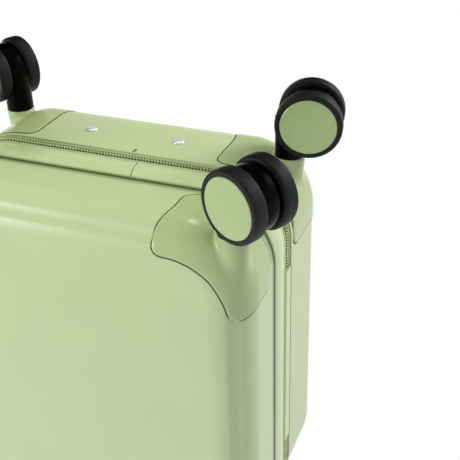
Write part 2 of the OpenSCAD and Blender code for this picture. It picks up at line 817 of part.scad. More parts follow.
module pull(z) {
    eye_w = slider_w - 2 * slider_lug - 2 * run_gap;
    color("#B9BBBC") translate([pull_x, coil_mid, z]) difference() {
        union() {
            rotate([90, 0, 0]) cylinder(r = 2, h = eye_w, center = true);
            translate([-pull_t / 2, -eye_w / 2, -8]) cube([pull_t, eye_w, 8]);
            translate([-pull_t / 2, 0, -8 - (pull_l - 8) / 2]) rotate([0, 90, 0])
                linear_extrude(pull_t) round_rect(pull_l - 8, slider_w - 0.5, 3);
        }
        rotate([90, 0, 0]) cylinder(r = pull_pin_r + pivot_gap, h = eye_w + 2, center = true);
        translate([-pull_t, 0, -pull_l + 6]) rotate([0, 90, 0]) cylinder(r = 1.8, h = pull_t * 2);
    }
}

module upper_slider() { slider(upper_slider_z); }
module upper_pull() { pull(upper_slider_z); }
module lower_slider() { slider(lower_slider_z); }
module lower_pull() { pull(lower_slider_z); }

front_shell();
rim_band();
hinge_strip();
front_zipper_tape();
front_liner();
front_guard_left();
front_guard_right();
front_swivel_pins();
back_shell();
back_zipper_tape();
back_liner();
back_guard_left();
back_guard_right();
back_swivel_pins();
foot_rivets();
trolley_foot();
trolley_outer_tubes();
trolley_tray();
trolley_bezel();
trolley_mid_tubes();
trolley_inner_tubes();
trolley_grip();
trolley_button();
top_handle();
top_handle_mounts();
side_handle();
side_handle_mounts();
lock_housing();
lock_dial_1();
lock_dial_2();
lock_dial_3();
lock_button();
upper_slider();
upper_pull();
lower_slider();
lower_pull();
casters();
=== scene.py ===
"""Looks for a hard shell cabin suitcase that stands on four double casters.

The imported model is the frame: its nodes keep their shapes and get finishes, and the pieces
that need a finer form than the frame has are built here and stand for their nodes.
Lengths are in metres and +Z is up.
"""

from __future__ import annotations

import json
import logging
import math
from dataclasses import dataclass
from enum import Enum
from typing import Callable, Sequence

import bmesh
import bpy
import numpy as np
from mathutils import Matrix, Vector

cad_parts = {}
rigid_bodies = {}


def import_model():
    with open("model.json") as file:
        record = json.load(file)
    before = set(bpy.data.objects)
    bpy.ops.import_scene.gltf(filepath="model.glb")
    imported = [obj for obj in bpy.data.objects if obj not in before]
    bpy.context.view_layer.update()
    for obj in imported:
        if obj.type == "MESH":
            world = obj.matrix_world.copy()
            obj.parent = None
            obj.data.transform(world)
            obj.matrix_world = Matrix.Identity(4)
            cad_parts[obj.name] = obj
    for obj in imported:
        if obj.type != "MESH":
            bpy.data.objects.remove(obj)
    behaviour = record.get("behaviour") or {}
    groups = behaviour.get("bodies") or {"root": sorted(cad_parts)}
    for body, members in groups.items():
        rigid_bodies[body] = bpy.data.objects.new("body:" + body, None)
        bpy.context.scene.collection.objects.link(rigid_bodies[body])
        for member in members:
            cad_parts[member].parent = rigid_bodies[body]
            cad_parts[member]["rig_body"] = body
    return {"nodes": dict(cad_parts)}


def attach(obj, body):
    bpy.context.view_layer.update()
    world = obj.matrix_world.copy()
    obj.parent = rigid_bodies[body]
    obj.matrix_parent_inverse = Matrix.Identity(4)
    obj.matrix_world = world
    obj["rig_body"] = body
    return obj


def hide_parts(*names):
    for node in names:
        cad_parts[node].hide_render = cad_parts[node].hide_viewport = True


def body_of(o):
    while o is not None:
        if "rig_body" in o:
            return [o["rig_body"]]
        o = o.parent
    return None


LOG = logging.getLogger("suitcase")
MM = 0.001
TINY = 1e-9
SWEEP_STEP = 3 * MM

Colour = tuple[float, float, float]
Pair = tuple[float, float]
Shape = tuple[np.ndarray, list]
Surface = Callable[[np.ndarray], np.ndarray]


def paint(hex_colour: str, factor: float = 1.0) -> Colour:
    """Turn a hex colour into linear light, lighter or darker by a factor.

    Args:
        hex_colour: Six hex digits, red first.
        factor: What the light is multiplied by.

    Returns:
        The linear red, green and blue, none above 1.
    """
    values = [int(hex_colour[k : k + 2], 16) / 255 for k in (0, 2, 4)]
    light = [v / 12.92 if v <= 0.04045 else ((v + 0.055) / 1.055) ** 2.4 for v in values]
    return tuple(min(1.0, v * factor) for v in light)


# ---- Shader maths ----


class Wire:
    """A shader output that can be used in Python expressions."""

    def __init__(self, tree: Tree, socket: bpy.types.NodeSocket) -> None:
        """Keep the tree and the socket."""
        self.tree = tree
        self.socket = socket

    def _math(self, operation: str, *values: Wire | float) -> Wire:
        """Add a Math node on these values."""
        return self.tree.node("ShaderNodeMath", {"operation": operation}, dict(enumerate(values)))

    def __add__(self, other: Wire | float) -> Wire:
        """Sum."""
        return self._math("ADD", self, other)

    def __radd__(self, other: float) -> Wire:
        """Sum, number first."""
        return self._math("ADD", other, self)

    def __sub__(self, other: Wire | float) -> Wire:
        """Difference."""
        return self._math("SUBTRACT", self, other)

    def __rsub__(self, other: float) -> Wire:
        """Difference, number first."""
        return self._math("SUBTRACT", other, self)

    def __mul__(self, other: Wire | float) -> Wire:
        """Product."""
        return self._math("MULTIPLY", self, other)

    def __rmul__(self, other: float) -> Wire:
        """Product, number first."""
        return self._math("MULTIPLY", other, self)

    def __lt__(self, other: Wire | float) -> Wire:
        """One where this is less."""
        return self._math("LESS_THAN", self, other)

    def sin(self) -> Wire:
        """Sine, in radians."""
        return self._math("SINE", self)

    def abs(self) -> Wire:
        """Size without sign."""
        return self._math("ABSOLUTE", self)

    def max(self, other: Wire | float) -> Wire:
        """The larger."""
        return self._math("MAXIMUM", self, other)

    def ramp(self, low: float, high: float, out_low: float = 0.0, out_high: float = 1.0) -> Wire:
        """Map low..high to out_low..out_high, clamped and smooth.

        Args:
            low: Value that gives out_low.
            high: Value that gives out_high.
            out_low: Result at low.
            out_high: Result at high.

        Returns:
            The mapped value.
        """
        inputs = {0: self, 1: low, 2: high, 3: out_low, 4: out_high}
        return self.tree.node("ShaderNodeMapRange", {"interpolation_type": "SMOOTHSTEP"}, inputs)


class Tree:
    """The shader tree of a material or of the world."""

    def __init__(self, owner: bpy.types.Material | bpy.types.World, output: str) -> None:
        """Empty the owner's tree and add its output.

        Args:
            owner: The material or the world.
            output: The type of its output node.
        """
        owner.use_nodes = True
        owner.node_tree.nodes.clear()
        self.owner = owner
        self.output = owner.node_tree.nodes.new(output)

    def node(
        self,
        kind: str,
        settings: dict[str, object] | None = None,
        inputs: dict[int | str, object] | None = None,
        output: int | str = 0,
    ) -> Wire:
        """Add any node.

        Args:
            kind: The node's type.
            settings: Its own properties, set first.
            inputs: Values or wires for its sockets, by place or name.
            output: The output to return.

        Returns:
            The chosen output.
        """
        node = self.owner.node_tree.nodes.new(kind)
        for key, value in (settings or {}).items():
            setattr(node, key, value)
        for key, value in (inputs or {}).items():
            if isinstance(value, Wire):
                self.owner.node_tree.links.new(value.socket, node.inputs[key])
            elif node.inputs[key].type == "RGBA":
                node.inputs[key].default_value = (*value, 1)
            else:
                node.inputs[key].default_value = value
        return Wire(self, node.outputs[output])

    def end_in(self, shader: Wire) -> None:
        """Link the shader that the tree ends in."""
        self.owner.node_tree.links.new(shader.socket, self.output.inputs["Surface"])

    def place(self) -> Wire:
        """The point on the object, in metres."""
        return self.node("ShaderNodeTexCoord", output="Object")

    def axes(self, vector: Wire) -> list[Wire]:
        """Split a vector into its three parts."""
        split = self.node("ShaderNodeSeparateXYZ", inputs={0: vector})
        return [Wire(self, part) for part in split.socket.node.outputs]

    def stretched(self, where: Wire, scale: tuple[float, float, float]) -> Wire:
        """Coordinates multiplied axis by axis; a small number draws features out."""
        return self.node("ShaderNodeVectorMath", {"operation": "MULTIPLY"}, {0: where, 1: scale})

    def noise(self, where: Wire, size: float, detail: float, roughness: float = 0.55) -> Wire:
        """Noise with features of a given size.

        Args:
            where: The coordinates.
            size: Size of a feature in metres.
            detail: Octaves.
            roughness: Weight of the finer octaves.

        Returns:
            A value from 0 to 1.
        """
        inputs = {"Vector": where, "Scale": 1.0 / size, "Detail": detail, "Roughness": roughness}
        return self.node("ShaderNodeTexNoise", {}, inputs, "Fac")

    def mix(self, factor: Wire | float, low: object, high: object) -> Wire:
        """Blend two colours through a Mix node."""
        inputs = {0: factor, 6: low, 7: high}
        return self.node("ShaderNodeMix", {"data_type": "RGBA"}, inputs, 2)

    def bump(self, height: Wire, depth: float) -> Wire:
        """The normal bent by a height of 0 to 1, where 1 stands for the depth in metres."""
        return self.node("ShaderNodeBump", {}, {"Height": height, "Distance": depth}, "Normal")


# ---- Finishes ----


class Finish:
    """A surface finish; its material is made once and shared."""

    name: str
    made: dict[str, bpy.types.Material] = {}

    def material(self) -> bpy.types.Material:
        """Give the finish's material, made at its first use.

        Returns:
            The material.
        """
        key = repr(self)
        if key not in Finish.made:
            material = bpy.data.materials.new(self.name)
            tree = Tree(material, "ShaderNodeOutputMaterial")
            tree.end_in(tree.node("ShaderNodeBsdfPrincipled", {}, self.sockets(tree, tree.place())))
            Finish.made[key] = material
        return Finish.made[key]

    def sockets(self, tree: Tree, at: Wire) -> dict[str, object]:
        """Work out what feeds the shader.

        Args:
            tree: The material's tree.
            at: The point on the object.

        Returns:
            Values and wires by the names of the shader's sockets.
        """
        raise NotImplementedError


@dataclass(frozen=True)
class Slot:
    """A narrow slot in the underside, its inside painted dark as shade, in mm; the lean is along X
    for each mm along Y.
    """

    x: float
    y: float
    half_x: float
    half_y: float
    lean: float


@dataclass(frozen=True)
class Groove:
    """A groove's wall at one Y and how far from it painted shade reaches into the colour, in mm."""

    wall: float
    reach: float


@dataclass(frozen=True)
class MouldedShell(Finish):
    """Satin polycarbonate with a faint moulded grain, a few handling marks, and painted shade in
    its slots and beside its groove.
    """

    name: str
    colour: str
    roughness: float = 0.36
    slots: tuple[Slot, ...] = ()
    groove: Groove | None = None
    cloud: float = 60 * MM
    fleck: float = 2.2 * MM
    mark: float = 1.1 * MM
    mark_draw: float = 0.12
    mark_patch: float = 45 * MM
    grain: float = 0.6 * MM
    grain_depth: float = 0.012 * MM
    underside: float = 75 * MM
    slot_shade: float = 0.12
    # painted shade: the dark tint beside the groove, and how strongly it is mixed in
    dust: str = "5A6F2E"
    dust_share: float = 0.8

    def sockets(self, tree: Tree, at: Wire) -> dict[str, object]:
        """Work out what feeds the shader.

        Args:
            tree: The material's tree.
            at: The point on the object.

        Returns:
            Values and wires by the names of the shader's sockets.
        """
        cloud = tree.noise(at, self.cloud, 2.0)
        fleck = tree.noise(at, self.fleck, 4.0, 0.65)
        pale, deep = paint(self.colour, 1.015), paint(self.colour, 0.985)
        tone = tree.mix(cloud.ramp(0.3, 0.7), deep, pale)
        tone = tree.mix(fleck.ramp(0.35, 0.7, 0.0, 0.12), tone, paint(self.colour, 0.86))
        drawn = tree.stretched(at, (1.0, 1.0, self.mark_draw))
        marks = tree.noise(drawn, self.mark, 2.0, 0.5).ramp(0.68, 0.8)
        marks = marks * tree.noise(at, self.mark_patch, 1.0).ramp(0.5, 0.7)
        rough = self.roughness + 0.05 * (cloud - 0.5) + 0.06 * (fleck - 0.5) + 0.1 * marks
        height = tree.noise(at, self.grain, 2.0, 0.5) - 0.25 * marks
        x, y, z = tree.axes(at)
        # painted shade: inside each slot the colour turns near black as the shade of the recess,
        # and the surface dips
        for slot in self.slots:
            along = y - slot.y * MM
            across = x - slot.x * MM - slot.lean * along
            inside = (across.abs() < slot.half_x * MM) * (along.abs() < slot.half_y * MM)
            inside = inside * (z < self.underside)
            tone = tree.mix(inside, tone, paint(self.colour, self.slot_shade))
            height = height - inside
        if self.groove:
            # painted shade: the colour darkens towards the groove's wall, standing for the shade of
            # the groove
            away = (y - self.groove.wall * MM).abs()
            shade = away.ramp(0, self.groove.reach * MM, self.dust_share, 0.0)
            tone = tree.mix(shade, tone, paint(self.dust))
        normal = tree.bump(height, self.grain_depth)
        return {"Base Color": tone, "Roughness": rough, "Normal": normal, "IOR": 1.5}


@dataclass(frozen=True)
class Moulded(Finish):
    """Plain moulded plastic with a fine spark-eroded texture."""

    name: str
    colour: str
    roughness: float = 0.5
    grain: float = 0.35 * MM
    grain_depth: float = 0.02 * MM
    level: float = 0.5
    cloud: float = 18 * MM

    def sockets(self, tree: Tree, at: Wire) -> dict[str, object]:
        """Work out what feeds the shader.

        Args:
            tree: The material's tree.
            at: The point on the object.

        Returns:
            Values and wires by the names of the shader's sockets.
        """
        cloud = tree.noise(at, self.cloud, 2.0)
        fine = tree.noise(at, self.grain, 2.0)
        tone = tree.mix(cloud.ramp(0.3, 0.7), paint(self.colour, 0.88), paint(self.colour, 1.12))
        rough = self.roughness + 0.08 * (cloud - 0.5) + 0.1 * (fine - 0.5)
        sockets = {"Base Color": tone, "Roughness": rough, "Specular IOR Level": self.level}
        return sockets | {"Normal": tree.bump(fine, self.grain_depth)}


@dataclass(frozen=True)
class Rubber(Finish):
    """Matte wheel rubber with a dusty, slightly uneven surface."""

    name: str
    colour: str
    # on the rubber this is only the colour of the dust on it
    dust: str
    cloud: float = 9 * MM
    grain: float = 0.5 * MM
    grain_depth: float = 0.03 * MM

    def sockets(self, tree: Tree, at: Wire) -> dict[str, object]:
        """Work out what feeds the shader.

        Args:
            tree: The material's tree.
            at: The point on the object.

        Returns:
            Values and wires by the names of the shader's sockets.
        """
        cloud = tree.noise(at, self.cloud, 4.0, 0.6)
        fine = tree.noise(at, self.grain, 3.0)
        dusty = cloud.ramp(0.45, 0.75, 0.0, 0.35)
        tone = tree.mix(dusty, paint(self.colour), paint(self.dust))
        rough = 0.5 + 0.12 * cloud + 0.08 * (fine - 0.5)
        sockets = {"Base Color": tone, "Roughness": rough, "Specular IOR Level": 0.2}
        return sockets | {"Normal": tree.bump(fine + 0.6 * cloud, self.grain_depth)}


@dataclass(frozen=True)
class Metal(Finish):
    """Plated or polished metal with fine drawn lines along one axis."""

    name: str
    colour: str
    roughness: float = 0.25
    drawn: tuple[float, float, float] = (1.0, 1.0, 0.02)
    line: float = 0.25 * MM
    line_depth: float = 0.004 * MM
    cloud: float = 14 * MM

    def sockets(self, tree: Tree, at: Wire) -> dict[str, object]:
        """Work out what feeds the shader.

        Args:
            tree: The material's tree.
            at: The point on the object.

        Returns:
            Values and wires by the names of the shader's sockets.
        """
        lines = tree.noise(tree.stretched(at, self.drawn), self.line, 3.0, 0.6)
        cloud = tree.noise(at, self.cloud, 3.0)
        tone = tree.mix(lines, paint(self.colour, 0.9), paint(self.colour, 1.06))
        rough = self.roughness + 0.12 * (lines - 0.5) + 0.08 * (cloud - 0.5)
        sockets = {"Base Color": tone, "Roughness": rough, "Metallic": 1.0}
        return sockets | {"Normal": tree.bump(lines, self.line_depth)}


@dataclass(frozen=True)
class Woven(Finish):
    """Plain woven cloth; the threads run along two axes, 0 for X, 1 for Y and 2 for Z."""

    name: str
    colour: str
    thread: float
    first: int = 0
    second: int = 2
    thread_depth: float = 0.12 * MM
    slub: float = 6 * MM

    def sockets(self, tree: Tree, at: Wire) -> dict[str, object]:
        """Work out what feeds the shader.

        Args:
            tree: The material's tree.
            at: The point on the object.

        Returns:
            Values and wires by the names of the shader's sockets.
        """
        parts = tree.axes(at)
        turn = math.pi / self.thread
        warp, weft = (parts[self.first] * turn).sin(), (parts[self.second] * turn).sin()
        weave = (warp * weft) * 0.5 + 0.5
        slub = tree.noise(at, self.slub, 3.0)
        tone = tree.mix(weave, paint(self.colour, 0.62), paint(self.colour, 1.15))
        tone = tree.mix(slub.ramp(0.35, 0.75, 0.0, 0.3), tone, paint(self.colour, 0.8))
        sockets = {"Base Color": tone, "Roughness": 0.86 + 0.08 * (weave - 0.5)}
        sockets |= {"Specular IOR Level": 0.25, "Sheen Weight": 0.25, "Sheen Roughness": 0.5}
        return sockets | {"Normal": tree.bump(weave, self.thread_depth)}


DRAIN_SLOT = Slot(-15.4, 16.7, 1.15, 3.3, -0.06)
BAND_JOINT = Slot(-32.5, -21, 0.4, 40, 0.29)
SHELL = MouldedShell("shell_satin_green", "C2CEA0", 0.3, groove=Groove(-35.9, 7))
BACK = MouldedShell("back_satin_green", "C2CEA0", slots=(DRAIN_SLOT,))
BAND = MouldedShell("band_satin_green", "C6D3A2", 0.24, (BAND_JOINT,), Groove(-33.2, 4))
GUARD = MouldedShell("guard_gloss_green", "B1C08B", 0.17)
CAP = MouldedShell("cap_satin_green", "A9BD86", 0.22)
TAPE = Woven("zip_tape_green", "B6C892", 0.5 * MM, 0, 1)
LINING = Woven("lining_sage", "8C977A", 0.9 * MM)
COIL = Moulded("zip_coil_green", "C0D096", 0.4)
# painted shade: dark colour for the stitches and for the sheet beside the coil, standing for the
# shade along the coil
THREAD_SHADE = Moulded("zip_thread_shade_olive", "3A4A1B", 0.7)
# painted shade: dark strips laid in the groove, behind the hinge strip and round the guards, where
# shade falls
SHADE_STRIP = Moulded("painted_shade_olive", "37481C", 0.6)
GRIP = Moulded("grip_soft_green", "9FB279", 0.5)
FORK = Moulded("fork_gloss_black", "030303", 0.16, 2 * MM, 0.004 * MM, 0.06)
HUB = Moulded("hub_black", "030303", 0.5, 2 * MM, 0.004 * MM, 0.02)
BLACK = Moulded("soft_black_plastic", "25262A", 0.48)
BUTTON = Moulded("button_grey", "85888D", 0.4)
NUMBER = Moulded("number_white", "E6E6E2", 0.5)
TYRE = Rubber("tyre_rubber", "161718", "212122")
STEEL = Metal("plated_steel", "C4C6C8", 0.22)
TUBE = Metal("anodised_tube", "C9CBCE", 0.28)
RIVET = Metal("polished_rivet", "EEF3F7", 0.38, (1.0, 1.0, 1.0), 0.8 * MM)


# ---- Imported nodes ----


def mesh_object(name: str, points: np.ndarray, faces: Sequence) -> bpy.types.Object:
    """Make a smooth-shaded mesh object whose faces all look outwards.

    Args:
        name: The object's name.
        points: Its vertices.
        faces: Its faces, as vertex numbers.

    Returns:
        The object, linked to the scene.
    """
    mesh = bpy.data.meshes.new(name)
    mesh.from_pydata([tuple(map(float, p)) for p in points], [], faces)
    form = bmesh.new()
    form.from_mesh(mesh)
    bmesh.ops.recalc_face_normals(form, faces=form.faces)
    form.to_mesh(mesh)
    form.free()
    mesh.polygons.foreach_set("use_smooth", [True] * len(mesh.polygons))
    mesh.update()
    piece = bpy.data.objects.new(name, mesh)
    bpy.context.scene.collection.objects.link(piece)
    return piece


@dataclass(frozen=True)
class Dressing:
    """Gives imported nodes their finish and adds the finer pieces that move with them."""

    nodes: dict[str, bpy.types.Object]
    smooth_angle: float = 28.0
    edge_angle: float = 35.0
    edge_steps: int = 3

    def dress(self, finish: Finish, *names: str, edge: float = 0.0) -> None:
        """Finish nodes, with smooth shading and softened edges.

        Args:
            finish: Their finish.
            names: The nodes.
            edge: Width of the softened edges, none if 0.
        """
        for name in names:
            piece = self.nodes[name]
            piece.data.materials.clear()
            piece.data.materials.append(finish.material())
            if edge > 0:
                bevel = piece.modifiers.new("soft_edges", "BEVEL")
                bevel.width, bevel.segments = edge, self.edge_steps
                bevel.limit_method, bevel.angle_limit = "ANGLE", math.radians(self.edge_angle)
                bevel.harden_normals = True
            self.smooth(piece, self.smooth_angle)
            LOG.info("dressed %s with %s", name, finish.name)

    def stand_in(
        self, name: str, points: np.ndarray, faces: Sequence, finish: Finish, *nodes: str
    ) -> bpy.types.Object:
        """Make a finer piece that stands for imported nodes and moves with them.

        Args:
            name: The piece's name.
            points: Its vertices.
            faces: Its faces, as vertex numbers.
            finish: Its finish.
            nodes: The nodes it stands for; it rides on the first one's body.

        Returns:
            The piece.
        """
        piece = self.companion(name, points, faces, finish, nodes[0])
        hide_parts(*nodes)
        return piece

    def companion(
        self, name: str, points: np.ndarray, faces: Sequence, finish: Finish, node: str
    ) -> bpy.types.Object:
        """Make a piece that moves with a node's body.

        Args:
            name: The piece's name.
            points: Its vertices.
            faces: Its faces, as vertex numbers.
            finish: Its finish.
            node: The node whose body it rides on.

        Returns:
            The piece.
        """
        piece = mesh_object(name, points, faces)
        piece.data.materials.append(finish.material())
        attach(piece, body_of(self.nodes[node])[0])
        LOG.info("built %s: %d faces", name, len(piece.data.polygons))
        return piece

    def smooth(self, piece: bpy.types.Object, degrees: float) -> None:
        """Shade a piece smooth, but keep the edges that turn by more than an angle sharp."""
        with bpy.context.temp_override(object=piece, selected_objects=[piece], active_object=piece):
            bpy.ops.object.shade_smooth_by_angle(angle=math.radians(degrees))


# ---- Sweeps and turned shapes ----


def quads(rows: int, count: int, closed: bool = False) -> list[tuple[int, int, int, int]]:
    """List the faces between neighbouring rows of points, each row a closed ring.

    Args:
        rows: How many rows there are.
        count: Points in each row.
        closed: Whether the last row meets the first.

    Returns:
        The faces, as vertex numbers.
    """
    faces = []
    for k in range(rows if closed else rows - 1):
        here, there = k * count, (k + 1) % rows * count
        for j in range(count):
            turn = (j + 1) % count
            faces.append((here + j, here + turn, there + turn, there + j))
    return faces


def capped(rows: int, count: int) -> list[tuple[int, ...]]:
    """The faces of an open run of rings, with both ends closed."""
    ends = [tuple(range(count))[::-1], tuple(range((rows - 1) * count, rows * count))]
    return quads(rows, count) + ends


def tube(
    path: np.ndarray,
    sizes: np.ndarray,
    sides: int,
    square: float = 2.0,
    up: tuple[float, float, float] = (0, 0, 1),
) -> Shape:
    """Sweep a rounded section along a path.

    Args:
        path: The centre line.
        sizes: Half sizes of the section across and along up, one pair per point.
        sides: Points round the section.
        square: 2 for an ellipse, more for a squarer section.
        up: The section's upright direction.

    Returns:
        The points and faces, ends closed.
    """
    along = np.gradient(path, axis=0)
    along /= np.linalg.norm(along, axis=1)[:, None]
    across = np.cross(along, np.broadcast_to(np.array(up, float), along.shape))
    across /= np.linalg.norm(across, axis=1)[:, None]
    lift = np.cross(across, along)
    turn = np.linspace(0, 2 * math.pi, sides, endpoint=False)
    c, s = np.cos(turn), np.sin(turn)
    wide = np.sign(c) * np.abs(c) ** (2 / square)
    tall = np.sign(s) * np.abs(s) ** (2 / square)
    rings = path[:, None] + across[:, None] * (sizes[:, :1] * wide)[..., None]
    rings = rings + lift[:, None] * (sizes[:, 1:] * tall)[..., None]
    return rings.reshape(-1, 3), capped(len(path), sides)


def turned(profile: Sequence[Pair], steps: int) -> Shape:
    """Turn a closed profile about the Y axis.

    Args:
        profile: Its corners, as radius and Y.
        steps: Steps round the axis.

    Returns:
        The points and faces.
    """
    turn = np.linspace(0, 2 * math.pi, steps, endpoint=False)
    shape = np.array(profile)
    radius, level = shape[:, 0], np.broadcast_to(shape[:, 1], (steps, len(shape)))
    points = np.stack([np.outer(np.cos(turn), radius), level, np.outer(np.sin(turn), radius)], -1)
    return points.reshape(-1, 3), quads(steps, len(shape), closed=True)


# ---- Body form ----


class Corner(Enum):
    """The four bottom corners, named by where each stands."""

    FRONT_LEFT = "front_left"
    FRONT_RIGHT = "front_right"
    BACK_LEFT = "back_left"
    BACK_RIGHT = "back_right"

    @property
    def signs(self) -> tuple[int, int]:
        """Which way the corner lies along X and Y."""
        return (-1 if "left" in self.value else 1, -1 if "front" in self.value else 1)

    @property
    def guard(self) -> str:
        """The node of the corner's guard."""
        half, side = self.value.split("_")
        return f"{half}_guard_{side}"


@dataclass(frozen=True)
class BodyForm:
    """The closed body: a box with round corners and rounded front and back edges.

    The valley is a shallow hollow along the rounded edges, centred on an angle in degrees.
    """

    half_width: float = 168 * MM
    half_depth: float = 105 * MM
    bottom: float = 62 * MM
    top: float = 447 * MM
    corner: float = 62 * MM
    edge: float = 34 * MM
    valley_depth: float = 1.8 * MM
    valley_angle: float = 50.0
    valley_span: float = 15.0

    @property
    def half_height(self) -> float:
        """Half of the body's height."""
        return (self.top - self.bottom) / 2

    @property
    def middle(self) -> float:
        """The height of the body's middle."""
        return (self.top + self.bottom) / 2

    def outline(self, x: np.ndarray, z: np.ndarray) -> np.ndarray:
        """Measure how far places lie outside the front view's outline.

        Args:
            x: Their X.
            z: Their Z.

        Returns:
            One distance per place, less than 0 inside.
        """
        away_x = np.abs(x) - self.half_width + self.corner
        away_z = np.abs(z - self.middle) - self.half_height + self.corner
        inside = np.minimum(np.maximum(away_x, away_z), 0)
        return np.hypot(np.maximum(away_x, 0), np.maximum(away_z, 0)) + inside - self.corner

    def distance(self, points: np.ndarray, valley: bool = False) -> np.ndarray:
        """Measure how far places lie outside the body.

        Args:
            points: Places, one per row.
            valley: Whether the valley round the faces is cut.

        Returns:
            One distance per place, less than 0 inside.
        """
        side = self.outline(points[..., 0], points[..., 2]) + self.edge
        face = np.abs(points[..., 1]) - self.half_depth + self.edge
        out = np.hypot(np.maximum(side, 0), np.maximum(face, 0)) - self.edge
        out = out + np.minimum(np.maximum(side, face), 0)
        if not valley:
            return out
        angle = np.degrees(np.arctan2(np.maximum(face, 0), np.maximum(side, TINY)))
        turn = np.clip((angle - self.valley_angle) / self.valley_span, -1, 1)
        return out + self.valley_depth * (1 + np.cos(math.pi * turn)) / 2


BODY = BodyForm()


@dataclass(frozen=True)
class RimPath:
    """The line round the body beside the zipper; the gap is left open behind the hinge strip."""

    gap: float = 205 * MM

    def walk(self, offset: float, step: float, start: float = 0.0) -> tuple[np.ndarray, np.ndarray]:
        """Places and outward directions at even steps along the line.

        Args:
            offset: Distance outside the body's outline.
            step: Distance between places.
            start: Distance of the first place from the end.

        Returns:
            The places and the outward directions, as X and Z.
        """
        wide, high = BODY.half_width - BODY.corner, BODY.half_height - BODY.corner
        radius = BODY.corner + offset
        stub, quarter = high - self.gap / 2, radius * math.pi / 2
        runs = [(stub, 180, None), (quarter, 180, (-wide, high)), (2 * wide, 90, None)]
        runs += [(quarter, 90, (wide, high)), (2 * high, 0, None), (quarter, 0, (wide, -high))]
        runs += [(2 * wide, -90, None), (quarter, -90, (-wide, -high)), (stub, -180, None)]
        starts = {180: (-wide - radius, self.gap / 2), 90: (-wide, high + radius)}
        starts |= {0: (wide + radius, high), -90: (wide, -high - radius)}
        starts[-180] = (-wide - radius, -high)
        total = sum(run[0] for run in runs)
        count = int((total - start) / step)
        even = (total - start) / count if start == 0 else step
        places, outs = [], []
        for k in range(count + (1 if start == 0 else 0)):
            left = min(start + k * even, total - TINY)
            for length, angle, centre in runs:
                if left <= length:
                    break
                left -= length
            turn = math.radians(angle - (90 * left / length if centre else 0))
            out = (math.cos(turn), math.sin(turn))
            if centre:
                place = (centre[0] + radius * out[0], centre[1] + radius * out[1])
            else:
                x, z = starts[angle]
                place = (x + out[1] * left, z - out[0] * left)
            places.append((place[0], place[1] + BODY.middle))
            outs.append(out)
        return np.array(places), np.array(outs)

    def sweep(self, profile: Sequence[Pair]) -> Shape:
        """Sweep a closed profile along the line.

        Args:
            profile: Its corners, as distance outside the outline and Y.

        Returns:
            The points and faces.
        """
        base, outs = self.walk(0.0, SWEEP_STEP)
        rows = []
        for (x, z), (ox, oz) in zip(base, outs):
            rows += [(x + ox * offset, y, z + oz * offset) for offset, y in profile]
        return np.array(rows), capped(len(base), len(profile))

    def repeat(self, shape: Shape, offset: float, y: float, pitch: float, start: float) -> Shape:
        """Repeat a small shape along the line.

        Args:
            shape: Its points (along, out, across) and faces.
            offset: Distance outside the outline.
            y: Place across the line.
            pitch: Distance between copies.
            start: Distance of the first copy from the end.

        Returns:
            The points and faces of all copies.
        """
        places, outs = self.walk(offset, pitch, start)
        points, faces = shape
        ox, oz = outs[:, None, 0], outs[:, None, 1]
        x = places[:, None, 0] + ox * points[:, 1] + oz * points[:, 0]
        z = places[:, None, 1] + oz * points[:, 1] - ox * points[:, 0]
        across = np.broadcast_to(y + points[:, 2], x.shape)
        cloud = np.stack([x, across, z], -1).reshape(-1, 3)
        many = [
            tuple(i + k * len(points) for i in face) for k in range(len(places)) for face in faces
        ]
        return cloud, many


# ---- Half shells ----


@dataclass(frozen=True)
class HalfShells:
    """The two moulded halves: shells, rim band, hinge strip and linings.

    A dark strip of painted shade lies in the groove beside the band, and a thin dark line of
    painted shade runs behind the hinge strip.
    """

    rim: RimPath = RimPath(gap=0)
    gasket_front: float = -35.9 * MM
    gasket_back: float = -33.2 * MM
    gasket_top: float = -0.15 * MM
    gasket_floor: float = -2 * MM
    line_y: float = 12.35 * MM
    line_half: Pair = (0.45 * MM, 0.2 * MM)
    line_sides: int = 8
    line_square: float = 4.0

    def build(self, dressing: Dressing) -> None:
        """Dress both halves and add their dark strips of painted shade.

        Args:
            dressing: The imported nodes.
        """
        dressing.dress(SHELL, "front_shell")
        dressing.dress(BACK, "back_shell")
        dressing.dress(BAND, "rim_band", "hinge_strip")
        dressing.dress(LINING, "front_liner", "back_liner")
        # painted shade: a dark strip in the groove between shell and band stands for the groove's
        # shade
        ring = [(self.gasket_top, self.gasket_front), (self.gasket_top, self.gasket_back)]
        ring += [(self.gasket_floor, self.gasket_back), (self.gasket_floor, self.gasket_front)]
        dressing.companion("groove_shade_strip", *self.rim.sweep(ring), SHADE_STRIP, "rim_band")
        # painted shade: a thin dark line behind the hinge strip stands for the shade in the gap
        # there
        half = RimPath().gap / 2
        ends = [(-BODY.half_width, self.line_y, BODY.middle + z) for z in (-half, half)]
        sizes = np.tile(self.line_half, (2, 1))
        line = tube(np.array(ends), sizes, self.line_sides, self.line_square, up=(1, 0, 0))
        dressing.companion("hinge_shade_line", *line, SHADE_STRIP, "hinge_strip")


# ---- Corner guards ----


def rounded_both(first: np.ndarray, second: np.ndarray, radius: float) -> np.ndarray:
    """Distance to what two shapes share, with the corner between them rounded.

    Args:
        first: Distances to one shape.
        second: Distances to the other.
        radius: Radius of the corner.

    Returns:
        The joint distance.
    """
    a, b = first + radius, second + radius
    return np.minimum(np.maximum(a, b), 0) + np.hypot(np.maximum(a, 0), np.maximum(b, 0)) - radius


def filleted(first: np.ndarray, second: np.ndarray, radius: float) -> np.ndarray:
    """Distance to two shapes together, with a fillet between them.

    Args:
        first: Distances to one shape.
        second: Distances to the other.
        radius: Radius of the fillet.

    Returns:
        The joint distance.
    """
    a, b = np.maximum(radius - first, 0), np.maximum(radius - second, 0)
    return np.maximum(radius, np.minimum(first, second)) - np.hypot(a, b)


def smooth_step(value: np.ndarray) -> np.ndarray:
    """Ease from 0 to 1."""
    v = np.clip(value, 0, 1)
    return v * v * (3 - 2 * v)


